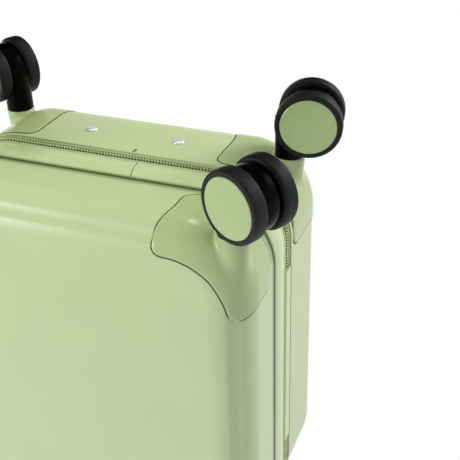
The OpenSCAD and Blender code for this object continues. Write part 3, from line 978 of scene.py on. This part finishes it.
@dataclass(frozen=True)
class CasterSpot:
    """Where a caster stands in from its side and face, and its turn at rest in degrees."""

    corner: Corner
    side: float
    face: float
    turn: float
    trail: float = 18 * MM
    axle: float = 30 * MM

    def place(self, points: np.ndarray) -> np.ndarray:
        """Move points from the axle's own axes, Y along the axle, to the body's.

        Args:
            points: Places, one per row.

        Returns:
            The moved places.
        """
        c, s = math.cos(math.radians(self.turn)), math.sin(math.radians(self.turn))
        sx, sy = self.corner.signs
        ahead, along = points[:, 0] - self.trail, points[:, 1]
        x = ahead * c - along * s + sx * (BODY.half_width - self.side)
        y = ahead * s + along * c + sy * (BODY.half_depth - self.face)
        return np.stack([x, y, points[:, 2] + self.axle], -1)


@dataclass(frozen=True)
class CornerGuard:
    """A moulded corner: a thin skin with two lobes that swells into the caster's pedestal.

    Its surface is found along rays from an eye on the caster's axis, inside the body. All of
    it is worked out on the front left corner and mirrored to the others.
    """

    spot: CasterSpot
    front_rim: float = 43 * MM
    back_rim: float = 17.5 * MM
    proud: float = 1.0 * MM
    lobe: float = 80 * MM
    scoop: float = 66 * MM
    scoop_shift: float = 2 * MM
    tip: float = 9 * MM
    lobe_swell: float = 0.2
    swell_start: float = 30 * MM
    taper: float = 6 * MM
    taper_start: float = 40 * MM
    taper_run: float = 32 * MM
    near_corner: float = 11 * MM
    pedestal: float = 14 * MM
    draft: float = 3.5 * MM
    draft_run: float = 54 * MM
    fillet: float = 4 * MM
    seat: float = 67 * MM
    seat_round: float = 0.5 * MM
    pin: float = 4 * MM
    lip: float = 0.3 * MM
    lip_steps: tuple[Pair, ...] = ((0.55, 0.25), (1.05, 0.75))
    bury: float = 0.4 * MM
    roll: float = 2.6 * MM
    flush: float = 0.15
    # painted shade: width and rows of the dark strip laid round the guard's edge as its contact
    # shade
    seam: float = 1.3 * MM
    seam_steps: tuple[Pair, ...] = (
        (-0.6, 0.25), (0.0, 0.25), (0.8, 0.2), (1.0, 0.1), (1.05, -0.4)
    )
    rays: int = 224
    rings: int = 60
    eye_height: float = 112 * MM
    ray_reach: float = 0.2
    ray_halvings: int = 28
    tilts: tuple[int, int] = (30, 168)
    tilt_halvings: int = 20

    def region(self, points: np.ndarray) -> np.ndarray:
        """Measure how far surface places lie outside the guard's outline.

        Args:
            points: Places on or near the body's surface.

        Returns:
            One distance per place, less than 0 inside.
        """
        u = BODY.half_width - np.abs(points[..., 0])
        v = points[..., 2] - BODY.bottom
        out = np.abs(points[..., 1])
        centre = self.lobe + self.scoop_shift
        fuller = self.lobe_swell * np.maximum(u - self.swell_start, 0)
        scoop = self.scoop - np.hypot(u - centre, v - fuller - centre)
        wide = smooth_step((out - BODY.half_depth + self.taper_start) / self.taper_run)
        reach = self.lobe - self.taper * (1 - wide)
        rim = self.front_rim if self.spot.corner.signs[1] < 0 else self.back_rim
        edges = []
        for away in (u, v):
            edges.append(rounded_both(scoop, away - self.lobe, self.tip))
            edges.append(rounded_both(away - reach, rim - out, self.near_corner))
        return np.max(edges, axis=0)

    def surface(self, points: np.ndarray) -> np.ndarray:
        """Measure how far places lie outside the guard's outer skin.

        Args:
            points: Places.

        Returns:
            One distance per place, less than 0 inside.
        """
        inward = 1 - np.clip(-self.region(points) / self.roll, 0, 1)
        rounded = self.flush + (1 - self.flush) * np.sqrt(1 - inward * inward)
        skin = BODY.distance(points) - self.proud * rounded
        rise = np.clip((points[..., 2] - self.seat) / self.draft_run, 0, 1)
        x, y, _ = self._eye
        post = np.hypot(points[..., 0] - x, points[..., 1] - y)
        return filleted(skin, post - self.pedestal + self.draft * rise, self.fillet)

    @property
    def _eye(self) -> np.ndarray:
        """The rays' start on the axis of the front left caster."""
        x, y = -BODY.half_width + self.spot.side, -BODY.half_depth + self.spot.face
        return np.array([x, y, self.eye_height])

    def _below_skin(self, depth: float) -> Surface:
        """The guard's skin moved inwards."""
        return lambda points: self.surface(points) + depth

    def _above_body(self, height: float) -> Surface:
        """The body's surface, valley and all, moved outwards."""
        return lambda points: BODY.distance(points, True) - height

    def _ways(self, turn: np.ndarray, tilt: np.ndarray) -> np.ndarray:
        """Directions at a turn about the axis and a tilt up from straight down."""
        across = np.sin(tilt)
        return np.stack([across * np.cos(turn), across * np.sin(turn), -np.cos(tilt)], -1)

    def _cast(self, ways: np.ndarray, form: Surface) -> np.ndarray:
        """Follow rays from the eye to a surface by halving.

        Args:
            ways: The rays' directions.
            form: Distance outside the surface.

        Returns:
            Where each ray meets the surface.
        """
        low, high = np.zeros(ways.shape[:-1]), np.full(ways.shape[:-1], self.ray_reach)
        for _ in range(self.ray_halvings):
            middle = (low + high) / 2
            inside = form(self._eye + ways * middle[..., None]) < 0
            low, high = np.where(inside, middle, low), np.where(inside, high, middle)
        return self._eye + ways * low[..., None]

    def _edge_tilt(self, turn: np.ndarray, form: Surface, away: float = 0.0) -> np.ndarray:
        """Find the tilt at which each ray meets the guard's outline.

        Args:
            turn: The rays' turns about the axis.
            form: Distance outside the surface the outline is drawn on.
            away: How far outside the outline to stop.

        Returns:
            One tilt per ray.
        """
        steps = np.radians(np.arange(*self.tilts, 1.0))
        grid = self._ways(turn[:, None], np.broadcast_to(steps, (len(turn), len(steps))))
        outside = self.region(self._cast(grid, form)) > away
        first = steps[np.argmax(outside, axis=1)]
        low, high = first - math.radians(1), first
        for _ in range(self.tilt_halvings):
            middle = (low + high) / 2
            inside = self.region(self._cast(self._ways(turn, middle), form)) < away
            low, high = np.where(inside, middle, low), np.where(inside, high, middle)
        return low

    def _moulding(self, turn: np.ndarray) -> list[np.ndarray]:
        """Work out the guard's rings, from the pin's hole to the edge buried in the body.

        Args:
            turn: The rays' turns about the axis.

        Returns:
            One ring of points per row.
        """
        eye, rows = self._eye, []
        circle = np.stack([np.cos(turn), np.sin(turn)], -1)
        for radius in (self.pin, self.pedestal - self.seat_round):
            level = np.full((self.rays, 1), self.seat)
            rows.append(np.hstack([eye[:2] + circle * radius, level]))
        start = math.atan2(self.pedestal, self.eye_height - self.seat - self.seat_round)
        edge = self._edge_tilt(turn, self.surface)
        rim = self._cast(self._ways(turn, edge), self.surface)
        last = edge - self.lip / np.linalg.norm(rim - eye, axis=1)
        for k in range(self.rings):
            tilt = start + (last - start) * k / (self.rings - 1)
            rows.append(self._cast(self._ways(turn, tilt), self.surface))
        for out, down in self.lip_steps:
            ways = self._ways(turn, last + (edge - last) * out)
            rows.append(self._cast(ways, self._below_skin(self.lip * down)))
        rows.append(self._cast(self._ways(turn, edge), self._above_body(-self.bury)))
        return rows

    def _seam(self, turn: np.ndarray) -> list[np.ndarray]:
        """Work out the rings of the dark strip of painted shade round the guard.

        Args:
            turn: The rays' turns about the axis.

        Returns:
            One ring of points per row.
        """
        rows = []
        for away, height in self.seam_steps:
            level = self._above_body(height * MM)
            tilt = self._edge_tilt(turn, level, away * self.seam)
            rows.append(self._cast(self._ways(turn, tilt), level))
        return rows

    def _mesh(self, rows: list[np.ndarray]) -> Shape:
        """Turn rings of points into a mesh on the guard's own corner.

        Args:
            rows: The rings, on the front left corner.

        Returns:
            The points and faces.
        """
        sx, sy = self.spot.corner.signs
        points = np.vstack(rows) * np.array([-sx, -sy, 1.0])
        order = (0, 3, 2, 1) if sx * sy > 0 else (1, 2, 3, 0)
        return points, [tuple(quad[i] for i in order) for quad in quads(len(rows), self.rays)]

    def build(self, dressing: Dressing) -> None:
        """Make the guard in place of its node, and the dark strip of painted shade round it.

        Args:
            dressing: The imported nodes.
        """
        name = self.spot.corner.guard
        turn = np.linspace(0, 2 * math.pi, self.rays, endpoint=False)
        dressing.stand_in(f"{name}_moulding", *self._mesh(self._moulding(turn)), GUARD, name)
        # painted shade: the dark strip round the guard
        dressing.companion(f"{name}_seam", *self._mesh(self._seam(turn)), SHADE_STRIP, name)


# ---- Zipper ----


@dataclass(frozen=True)
class Zipper:
    """Two woven tapes, each with a stitched row of coil; the rows mesh in the middle. Dark stitches
    and a dark sheet beside the coil carry painted shade.

    The bow, the loop and the shoulders of the welt are outlines in mm.
    """

    rim: RimPath = RimPath()
    depth: float = 2.6 * MM
    tape: float = 0.8 * MM
    front: float = -2 * MM
    back: float = 12.4 * MM
    middle: float = 5.25 * MM
    play: float = 0.15 * MM
    pitch: float = 3.0 * MM
    phase: float = 0.6
    wire: float = 0.5 * MM
    wire_flat: float = 0.8
    wire_sides: int = 6
    loop: tuple[Pair, ...] = (
        (1.9, 0.1), (1.95, 0.75), (1.7, 1.2), (1.1, 1.34),
        (0.4, 1.34), (-0.15, 1.15), (-0.3, 0.75), (-0.1, 0.4),
    )
    loop_lean: float = 0.14 * MM
    bow: tuple[float, ...] = (-0.05, 0.14, 0.2, 0.14, -0.05)
    bow_share: float = 0.46
    # the stitches are real thread; their dark colour is painted shade beside the coil
    stitch: Pair = (0.36 * MM, 0.16 * MM)
    stitch_rows: Pair = (2.3 * MM, 3.1 * MM)
    bead: float = 1.2 * MM
    bead_rise: float = 0.1 * MM
    ribbon_rise: float = 0.2 * MM
    welt: float = 3.3 * MM
    crest: float = -1.2 * MM
    inner_shoulder: tuple[Pair, Pair] = ((0.4, 0.1), (0.0, 0.5))
    outer_shoulder: tuple[Pair, Pair] = ((0.0, 0.4), (0.3, 0.0))
    pull_edge: float = 0.4 * MM

    def build(self, dressing: Dressing) -> None:
        """Make both halves in place of their nodes, and dress the sliders.

        Args:
            dressing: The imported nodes.
        """
        for half, sign, edge in (("front", -1, self.front), ("back", 1, self.back)):
            node = f"{half}_zipper_tape"
            weave, shade_sheet = self._tape(self.middle + sign * self.play, edge, sign)
            dressing.stand_in(f"{half}_zipper_weave", *weave, TAPE, node)
            # painted shade: a dark sheet on the tape beside the coil stands for the shade there
            dressing.companion(f"{half}_zipper_shade_sheet", *shade_sheet, THREAD_SHADE, node)
            start = self.phase * self.pitch + (self.pitch / 2 if sign > 0 else 0)
            coil = self.rim.repeat(self._loop(sign), -self.depth, self.middle, self.pitch, start)
            dressing.companion(f"{half}_zipper_coil", *coil, COIL, node)
            # real stitches, dark with painted shade along the coil
            for k, reach in enumerate(self.stitch_rows):
                y = self.middle + sign * reach
                row = self.rim.repeat(self._stitch(), -self.depth, y, self.pitch, start)
                dressing.companion(f"{half}_zipper_stitches_{k + 1}", *row, THREAD_SHADE, node)
        parts = ("upper_slider", "upper_pull", "lower_slider", "lower_pull")
        dressing.dress(STEEL, *parts, edge=self.pull_edge)

    def _tape(self, inner: float, edge: float, sign: int) -> tuple[Shape, Shape]:
        """Sweep one tape, with a bead under the coil and a raised welt at its rim.

        Args:
            inner: Y of the edge at the middle.
            edge: Y of the rim.
            sign: -1 for the front half, 1 for the back half.

        Returns:
            The tape and the dark sheet of painted shade on it.
        """
        low, top = -self.depth - self.tape, -self.depth
        bead, welt = inner + sign * self.bead, edge - sign * self.welt
        risen, crest = top + self.bead_rise, self.crest
        tape = [(low, inner), (risen, inner), (risen, bead), (top, bead), (top, welt)]
        tape += [(crest - fall * MM, welt + sign * y * MM) for fall, y in self.inner_shoulder]
        tape += [(crest - fall * MM, edge - sign * y * MM) for fall, y in self.outer_shoulder]
        tape.append((low, edge))
        # painted shade: the dark sheet from the middle to the welt
        sheet_level = top + self.ribbon_rise
        shade_sheet = [(low, inner), (sheet_level, inner), (sheet_level, welt), (low, welt)]
        return self.rim.sweep(tape[::sign]), self.rim.sweep(shade_sheet[::sign])

    def _loop(self, sign: int) -> Shape:
        """Bend one loop of the coil: an arch that hooks past the middle.

        Args:
            sign: -1 for the front half, 1 for the back half.

        Returns:
            The points and faces.
        """
        across, out = np.array(self.loop).T * MM
        lean = np.linspace(-self.loop_lean, self.loop_lean, len(self.loop))
        sizes = np.tile([self.wire, self.wire * self.wire_flat], (len(self.loop), 1))
        path = np.stack([lean, out, across * sign], -1)
        return tube(path, sizes, self.wire_sides, up=(1, 0, 0.001))

    def _stitch(self) -> Shape:
        """Bend one sewn stitch, a short bow of thread.

        Returns:
            The points and faces.
        """
        count = len(self.bow)
        along = np.linspace(-self.bow_share, self.bow_share, count) * self.pitch
        path = np.stack([along, np.array(self.bow) * MM, np.zeros(count)], -1)
        sizes = np.tile(self.stitch, (count, 1))
        return tube(path, sizes, self.wire_sides, up=(0, 1, 0.001))


# ---- Casters ----


@dataclass(frozen=True)
class Caster:
    """A swivel fork with a round guard between two wheels; each wheel is a tyre on a hub.

    The outlines are in mm, as radius and place along the axle; a wheel's starts at its inner
    face.
    """

    spot: CasterSpot
    inner_face: float = 9.0
    steps: int = 112
    crease: float = 24.0
    fork_edge: float = 0.6 * MM
    tyre: tuple[Pair, ...] = (
        (21, 0), (27.2, 0), (28.4, 0.3), (29.3, 0.9), (29.85, 1.9), (30, 3.2), (30, 7.5),
        (29.95, 10.9), (29.8, 11.9), (29.45, 12.7), (28.9, 13.3), (28.3, 13.65), (28.0, 13.7),
        (27.2, 13.72), (26.0, 13.8), (25.5, 13.75), (25.25, 13.5), (25.1, 12.9), (25.1, 12),
        (21, 12),
    )
    hub: tuple[Pair, ...] = (
        (2.6, -0.5), (6.4, -0.5), (7, 0), (7.2, 3.2), (7.8, 3.9), (13.5, 4.3), (14.2, 4.7),
        (19.2, 4.7), (20, 4.1), (20.4, 0.6), (20.9, 0.2), (21.2, 0.6), (21.2, 9), (2.6, 9),
    )
    guard: tuple[Pair, ...] = (
        (2.6, -8.2), (25.4, -8.2), (26.3, -7.9), (26.7, -7.2), (26.9, 0), (26.7, 7.2),
        (26.3, 7.9), (25.4, 8.2), (2.6, 8.2),
    )

    def _round(self, outline: Sequence[Pair], side: int = 1, inner: float = 0.0) -> Shape:
        """Turn an outline about the axle.

        Args:
            outline: Its corners.
            side: Which way along the axle it lies.
            inner: How far out it starts, in mm.

        Returns:
            The points and faces.
        """
        shape = [(radius * MM, side * (along + inner) * MM) for radius, along in outline]
        points, faces = turned(shape[::side], self.steps)
        return self.spot.place(points), faces

    def build(self, dressing: Dressing) -> None:
        """Dress the fork, and make its guard and both wheels.

        Args:
            dressing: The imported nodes.
        """
        name = self.spot.corner.value
        dressing.dress(FORK, f"{name}_fork", edge=self.fork_edge)
        dressing.dress(STEEL, f"{name}_axle")
        guard = self._round(self.guard)
        made = [dressing.companion(f"{name}_fork_guard", *guard, FORK, f"{name}_fork")]
        for letter, side in (("a", -1), ("b", 1)):
            node = f"{name}_wheel_{letter}"
            tyre = self._round(self.tyre, side, self.inner_face)
            made.append(dressing.stand_in(f"{name}_tyre_{letter}", *tyre, TYRE, node))
            hub = self._round(self.hub, side, self.inner_face)
            made.append(dressing.companion(f"{name}_hub_{letter}", *hub, HUB, node))
            dressing.dress(CAP, f"{name}_cap_{letter}")
        for piece in made:
            dressing.smooth(piece, self.crease)


@dataclass(frozen=True)
class Undercarriage:
    """What stands under the body: four casters on their pins, and the rivets beside them.

    A rivet's head is wide and nearly flat; its outline is in mm, as radius and height.
    """

    spots: tuple[CasterSpot, ...]
    rivet_span: float = 92 * MM
    rivet_y: float = 46 * MM
    rivet_steps: int = 48
    rivet_head: tuple[Pair, ...] = (
        (0.05, 0.3), (5.6, 0.3), (5.6, -0.35), (5.45, -0.85), (5.1, -1.2), (4.6, -1.45),
        (3.6, -1.75), (2.2, -2.0), (0.05, -2.1),
    )

    def rivets(self, dressing: Dressing) -> None:
        """Dress the rivets and set their heads.

        Args:
            dressing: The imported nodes.
        """
        dressing.dress(RIVET, "foot_rivets")
        outline = [(radius * MM, height * MM) for radius, height in self.rivet_head]
        points, faces = turned(outline, self.rivet_steps)
        upright = np.stack([points[:, 0], -points[:, 2], points[:, 1]], -1)
        for name, side in (("left", -1), ("right", 1)):
            head = upright + np.array([side * self.rivet_span / 2, self.rivet_y, BODY.bottom])
            dressing.companion(f"rivet_head_{name}", head, faces, RIVET, "foot_rivets")

    def casters(self, dressing: Dressing) -> None:
        """Dress the swivel pins and build the casters.

        Args:
            dressing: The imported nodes.
        """
        dressing.dress(STEEL, "front_swivel_pins", "back_swivel_pins")
        for spot in self.spots:
            Caster(spot).build(dressing)


# ---- Trolley and carry handles ----


@dataclass(frozen=True)
class Trolley:
    """The telescopic handle: anodised tubes, black mouldings and a grey button."""

    moulding_edge: float = 0.8 * MM
    button_edge: float = 0.6 * MM

    def build(self, dressing: Dressing) -> None:
        """Dress every part.

        Args:
            dressing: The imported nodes.
        """
        dressing.dress(TUBE, *(f"trolley_{stage}_tubes" for stage in ("outer", "mid", "inner")))
        mouldings = ("trolley_foot", "trolley_bezel", "trolley_grip")
        dressing.dress(BLACK, *mouldings, edge=self.moulding_edge)
        dressing.dress(BLACK, "trolley_tray")
        dressing.dress(BUTTON, "trolley_button", edge=self.button_edge)


@dataclass(frozen=True)
class CarryHandle:
    """A folding carry handle: a soft bar on two arms that turn on pins, its mounts moulded.

    The seat is where the folded handle lies, between its pins.
    """

    name: str
    seat: Matrix
    half_length: float = 62 * MM
    reach: float = 27 * MM
    arm: float = 12 * MM
    bar: float = 14 * MM
    thick: float = 9 * MM
    lift: float = 6 * MM
    bend: float = 9 * MM
    bar_inset: float = 3 * MM
    end_angles: tuple[int, ...] = (12, 30, 50, 70, 90)
    thinnest: float = 0.03
    sides: int = 28
    square: float = 3.4
    swell: float = 0.06
    snug: float = 0.97
    pin: float = 2.4 * MM
    pin_inset: float = 2 * MM
    pin_length: float = 8.5 * MM
    pin_sides: int = 20
    mount_edge: float = 1.0 * MM

    def _grip(self) -> Shape:
        """Sweep the handle as it lies folded, its pins along X.

        Returns:
            The points and faces.
        """
        x, y = self.half_length - self.arm / 2, self.reach - self.bar / 2
        r, half = self.bend, self.thick / 2
        end = x - r - self.bar_inset
        arm = [(x, -half * math.cos(a)) for a in np.radians(self.end_angles)]
        arm += [(x, v) for v in np.linspace(1 * MM, y - r, 5)]
        bends = np.radians(range(9, 91, 9))
        arm += [(x - r + r * math.cos(a), y - r + r * math.sin(a)) for a in bends]
        bar = [(u, y) for u in np.linspace(end, -end, 15)]
        flat = arm + bar + [(-u, v) for u, v in arm[::-1]]
        sizes = []
        for u, v in flat:
            on_bar = float(smooth_step(np.array((v - (y - r)) / r)))
            wide = (self.arm + (self.bar - self.arm) * on_bar) / 2
            tall = half * math.sqrt(max(self.thinnest, 1 - min(0.0, v / half) ** 2))
            swell = 1 + self.swell * math.cos(math.pi * min(1.0, abs(u) / (x - r))) * on_bar
            sizes.append((wide, tall * (swell if v > y - TINY else 1.0) * self.snug))
        path = np.array([(u, v, self.lift) for u, v in flat])
        return tube(path, np.array(sizes), self.sides, self.square)

    def build(self, dressing: Dressing) -> None:
        """Make the handle in place of its node, with its pins, and dress the mounts.

        Args:
            dressing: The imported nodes.
        """
        node, name = f"{self.name}_handle", f"{self.name}_grip"
        points, faces = self._grip()
        placed = np.array([self.seat @ Vector(p) for p in points])
        dressing.stand_in(name, placed, faces, GRIP, node)
        start = self.half_length - self.pin_inset
        for side, sign in (("left", -1), ("right", 1)):
            ends = [(sign * (start + k), 0, self.lift) for k in (0, self.pin_length)]
            points, faces = tube(np.array(ends), np.full((2, 2), self.pin), self.pin_sides)
            placed = np.array([self.seat @ Vector(p) for p in points])
            dressing.companion(f"{name}_pin_{side}", placed, faces, STEEL, node)
        dressing.dress(GUARD, f"{self.name}_handle_mounts", edge=self.mount_edge)


# ---- Lock ----


@dataclass(frozen=True)
class Lock:
    """The lock: a housing, a button and three dials with the numbers 0 to 9 round each."""

    x: float = 166.5 * MM
    y: float = 26 * MM
    height: float = 242.5 * MM
    pitch: float = 9 * MM
    radius: float = 6.5 * MM
    size: float = 3.6 * MM
    plate: float = 0.06 * MM
    count: int = 10
    housing_edge: float = 0.8 * MM
    dial_edge: float = 0.2 * MM
    button_edge: float = 0.6 * MM

    def build(self, dressing: Dressing) -> None:
        """Dress the lock and put the numbers on the dials.

        Args:
            dressing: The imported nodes.
        """
        dressing.dress(GUARD, "lock_housing", edge=self.housing_edge)
        dressing.dress(BUTTON, "lock_button", edge=self.button_edge)
        for dial in (1, 2, 3):
            dressing.dress(BLACK, f"lock_dial_{dial}", edge=self.dial_edge)
            numbers = self._numbers(self.height + (2 - dial) * self.pitch)
            dressing.companion(f"dial_{dial}_numbers", *numbers, NUMBER, f"lock_dial_{dial}")

    def _numbers(self, middle: float) -> Shape:
        """Bend the ten numbers round one dial.

        Args:
            middle: Height of the dial's middle.

        Returns:
            The points and faces.
        """
        points, faces = [], []
        for number in range(self.count):
            flat, cells = self._digit(str(number))
            faces += [tuple(i + len(points) for i in cell) for cell in cells]
            turn = 2 * math.pi * (number + 0.5) / self.count
            for u, v, lift in flat:
                a, r = turn + u / self.radius, self.radius + lift
                points.append((self.x + r * math.cos(a), self.y + r * math.sin(a), middle + v))
        return np.array(points), faces

    def _digit(self, text: str) -> tuple[list, list]:
        """Cut one number as a thin plate, flat and centred.

        Args:
            text: The number.

        Returns:
            The points and faces.
        """
        curve = bpy.data.curves.new("number", "FONT")
        curve.body, curve.size, curve.extrude = text, self.size, self.plate
        curve.align_x, curve.align_y = "CENTER", "CENTER"
        curve.resolution_u = 3
        holder = bpy.data.objects.new("number", curve)
        mesh = holder.to_mesh()
        flat = [tuple(v.co) for v in mesh.vertices]
        cells = [tuple(p.vertices) for p in mesh.polygons]
        holder.to_mesh_clear()
        bpy.data.objects.remove(holder)
        bpy.data.curves.remove(curve)
        return flat, cells


# ---- Studio ----


@dataclass(frozen=True)
class Lamp:
    """A square soft box that faces a point on the case's axis."""

    name: str
    place: tuple[float, float, float]
    target_height: float
    size: float
    power: float

    def build(self) -> None:
        """Add the lamp."""
        light = bpy.data.lights.new(self.name, "AREA")
        light.shape, light.size, light.energy = "SQUARE", self.size, self.power
        lamp = bpy.data.objects.new(self.name, light)
        bpy.context.scene.collection.objects.link(lamp)
        lamp.location = self.place
        aim = Vector((0, 0, self.target_height)) - Vector(self.place)
        lamp.rotation_euler = aim.to_track_quat("-Z", "Y").to_euler()


@dataclass(frozen=True)
class Studio:
    """Pale floor, white surround, soft boxes and the camera."""

    eye: tuple[float, float, float] = (-0.3678, -0.6169, -0.2801)
    azimuth: float = -22.357
    elevation: float = -30.846
    roll: float = 178.25
    lens: float = 67.78
    sensor: float = 36.0
    clip: Pair = (0.01, 50.0)
    surround: float = 0.5
    half_floor: float = 3.0
    floor_cloud: float = 0.4
    floor_tones: tuple[str, str] = ("F4F4F3", "FAFAF9")
    lamps: tuple[Lamp, ...] = (
        Lamp("key", (1.3, -1.3, -0.25), 0.25, 0.7, 19.0),
        Lamp("side", (-1.15, 1.15, -0.9), 0.25, 0.6, 22.0),
        Lamp("below", (0.1, 0.5, -1.7), 0.1, 0.35, 5.5),
        Lamp("above", (0.2, -0.3, 2.2), 0.3, 1.6, 14.0),
    )

    def build(self) -> None:
        """Add everything in the studio."""
        self._camera()
        self._world()
        self._floor()
        for lamp in self.lamps:
            lamp.build()
        bpy.context.scene.view_settings.view_transform = "Standard"
        LOG.info("studio with %d lamps", len(self.lamps))

    def _camera(self) -> None:
        """Add the camera: it looks up at the wheels, held upside down."""
        data = bpy.data.cameras.new("camera")
        data.lens, data.sensor_width = self.lens, self.sensor
        data.clip_start, data.clip_end = self.clip
        camera = bpy.data.objects.new("camera", data)
        bpy.context.scene.collection.objects.link(camera)
        az, el, roll = (math.radians(v) for v in (self.azimuth, self.elevation, self.roll))
        back = Vector((math.sin(az) * math.cos(el), -math.cos(az) * math.cos(el), math.sin(el)))
        right = (-back).cross(Vector((0, 0, 1))).normalized()
        up = right.cross(-back)
        x_axis = math.cos(roll) * right + math.sin(roll) * up
        y_axis = -math.sin(roll) * right + math.cos(roll) * up
        turn = Matrix((x_axis, y_axis, back)).transposed()
        camera.matrix_world = Matrix.Translation(self.eye) @ turn.to_4x4()
        bpy.context.scene.camera = camera

    def _world(self) -> None:
        """White to the camera, to reflections and through glass, soft grey as a light."""
        world = bpy.data.worlds.new("surround")
        bpy.context.scene.world = world
        tree = Tree(world, "ShaderNodeOutputWorld")
        kinds = ("Is Camera Ray", "Is Glossy Ray", "Is Transmission Ray")
        camera, glossy, through = (tree.node("ShaderNodeLightPath", output=k) for k in kinds)
        soft, white = (
            tree.node("ShaderNodeBackground", {}, {"Color": (1, 1, 1), "Strength": strength})
            for strength in (self.surround, 1.0)
        )
        seen = camera.max(glossy.max(through))
        tree.end_in(tree.node("ShaderNodeMixShader", {}, {0: seen, 1: soft, 2: white}))

    def _floor(self) -> None:
        """Pale floor that keeps the shadow and lets light from below pass."""
        mesh = bpy.data.meshes.new("floor")
        half = self.half_floor
        corners = [(-half, -half, 0), (half, -half, 0), (half, half, 0), (-half, half, 0)]
        mesh.from_pydata(corners, [], [(0, 1, 2, 3)])
        floor = bpy.data.objects.new("floor", mesh)
        bpy.context.scene.collection.objects.link(floor)
        material = bpy.data.materials.new("floor_pale")
        tree = Tree(material, "ShaderNodeOutputMaterial")
        cloud = tree.noise(tree.place(), self.floor_cloud, 2.0)
        tone = tree.mix(cloud, *(paint(tone) for tone in self.floor_tones))
        matt = tree.node("ShaderNodeBsdfDiffuse", {}, {"Color": tone})
        clear = tree.node("ShaderNodeBsdfTransparent")
        below = tree.node("ShaderNodeNewGeometry", output="Backfacing")
        shadow = tree.node("ShaderNodeLightPath", output="Is Shadow Ray")
        mix = {0: below.max(shadow), 1: matt, 2: clear}
        tree.end_in(tree.node("ShaderNodeMixShader", {}, mix))
        mesh.materials.append(material)


def main(frame: dict) -> None:
    """Dress the frame, build the finer pieces and light them.
    """
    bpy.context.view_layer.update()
    dressing = Dressing(frame["nodes"])
    spots = (
        CasterSpot(Corner.FRONT_LEFT, 17 * MM, 23 * MM, 25),
        CasterSpot(Corner.FRONT_RIGHT, 19 * MM, 41 * MM, 168),
        CasterSpot(Corner.BACK_LEFT, 19 * MM, 41 * MM, -12),
        CasterSpot(Corner.BACK_RIGHT, 17 * MM, 23 * MM, 205),
    )
    undercarriage = Undercarriage(spots)
    HalfShells().build(dressing)
    for spot in spots:
        CornerGuard(spot).build(dressing)
    Zipper().build(dressing)
    undercarriage.rivets(dressing)
    Trolley().build(dressing)
    on_top = Matrix.Translation((0, 40 * MM, BODY.top))
    on_side = Matrix.Translation((BODY.half_width, 44 * MM, BODY.middle))
    CarryHandle("top", on_top).build(dressing)
    CarryHandle("side", on_side @ Matrix.Rotation(math.pi / 2, 4, "Y")).build(dressing)
    Lock().build(dressing)
    undercarriage.casters(dressing)
    Studio().build()


if __name__ == "__main__":
    logging.basicConfig(level=logging.INFO, format="%(name)s: %(message)s")
    main(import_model())
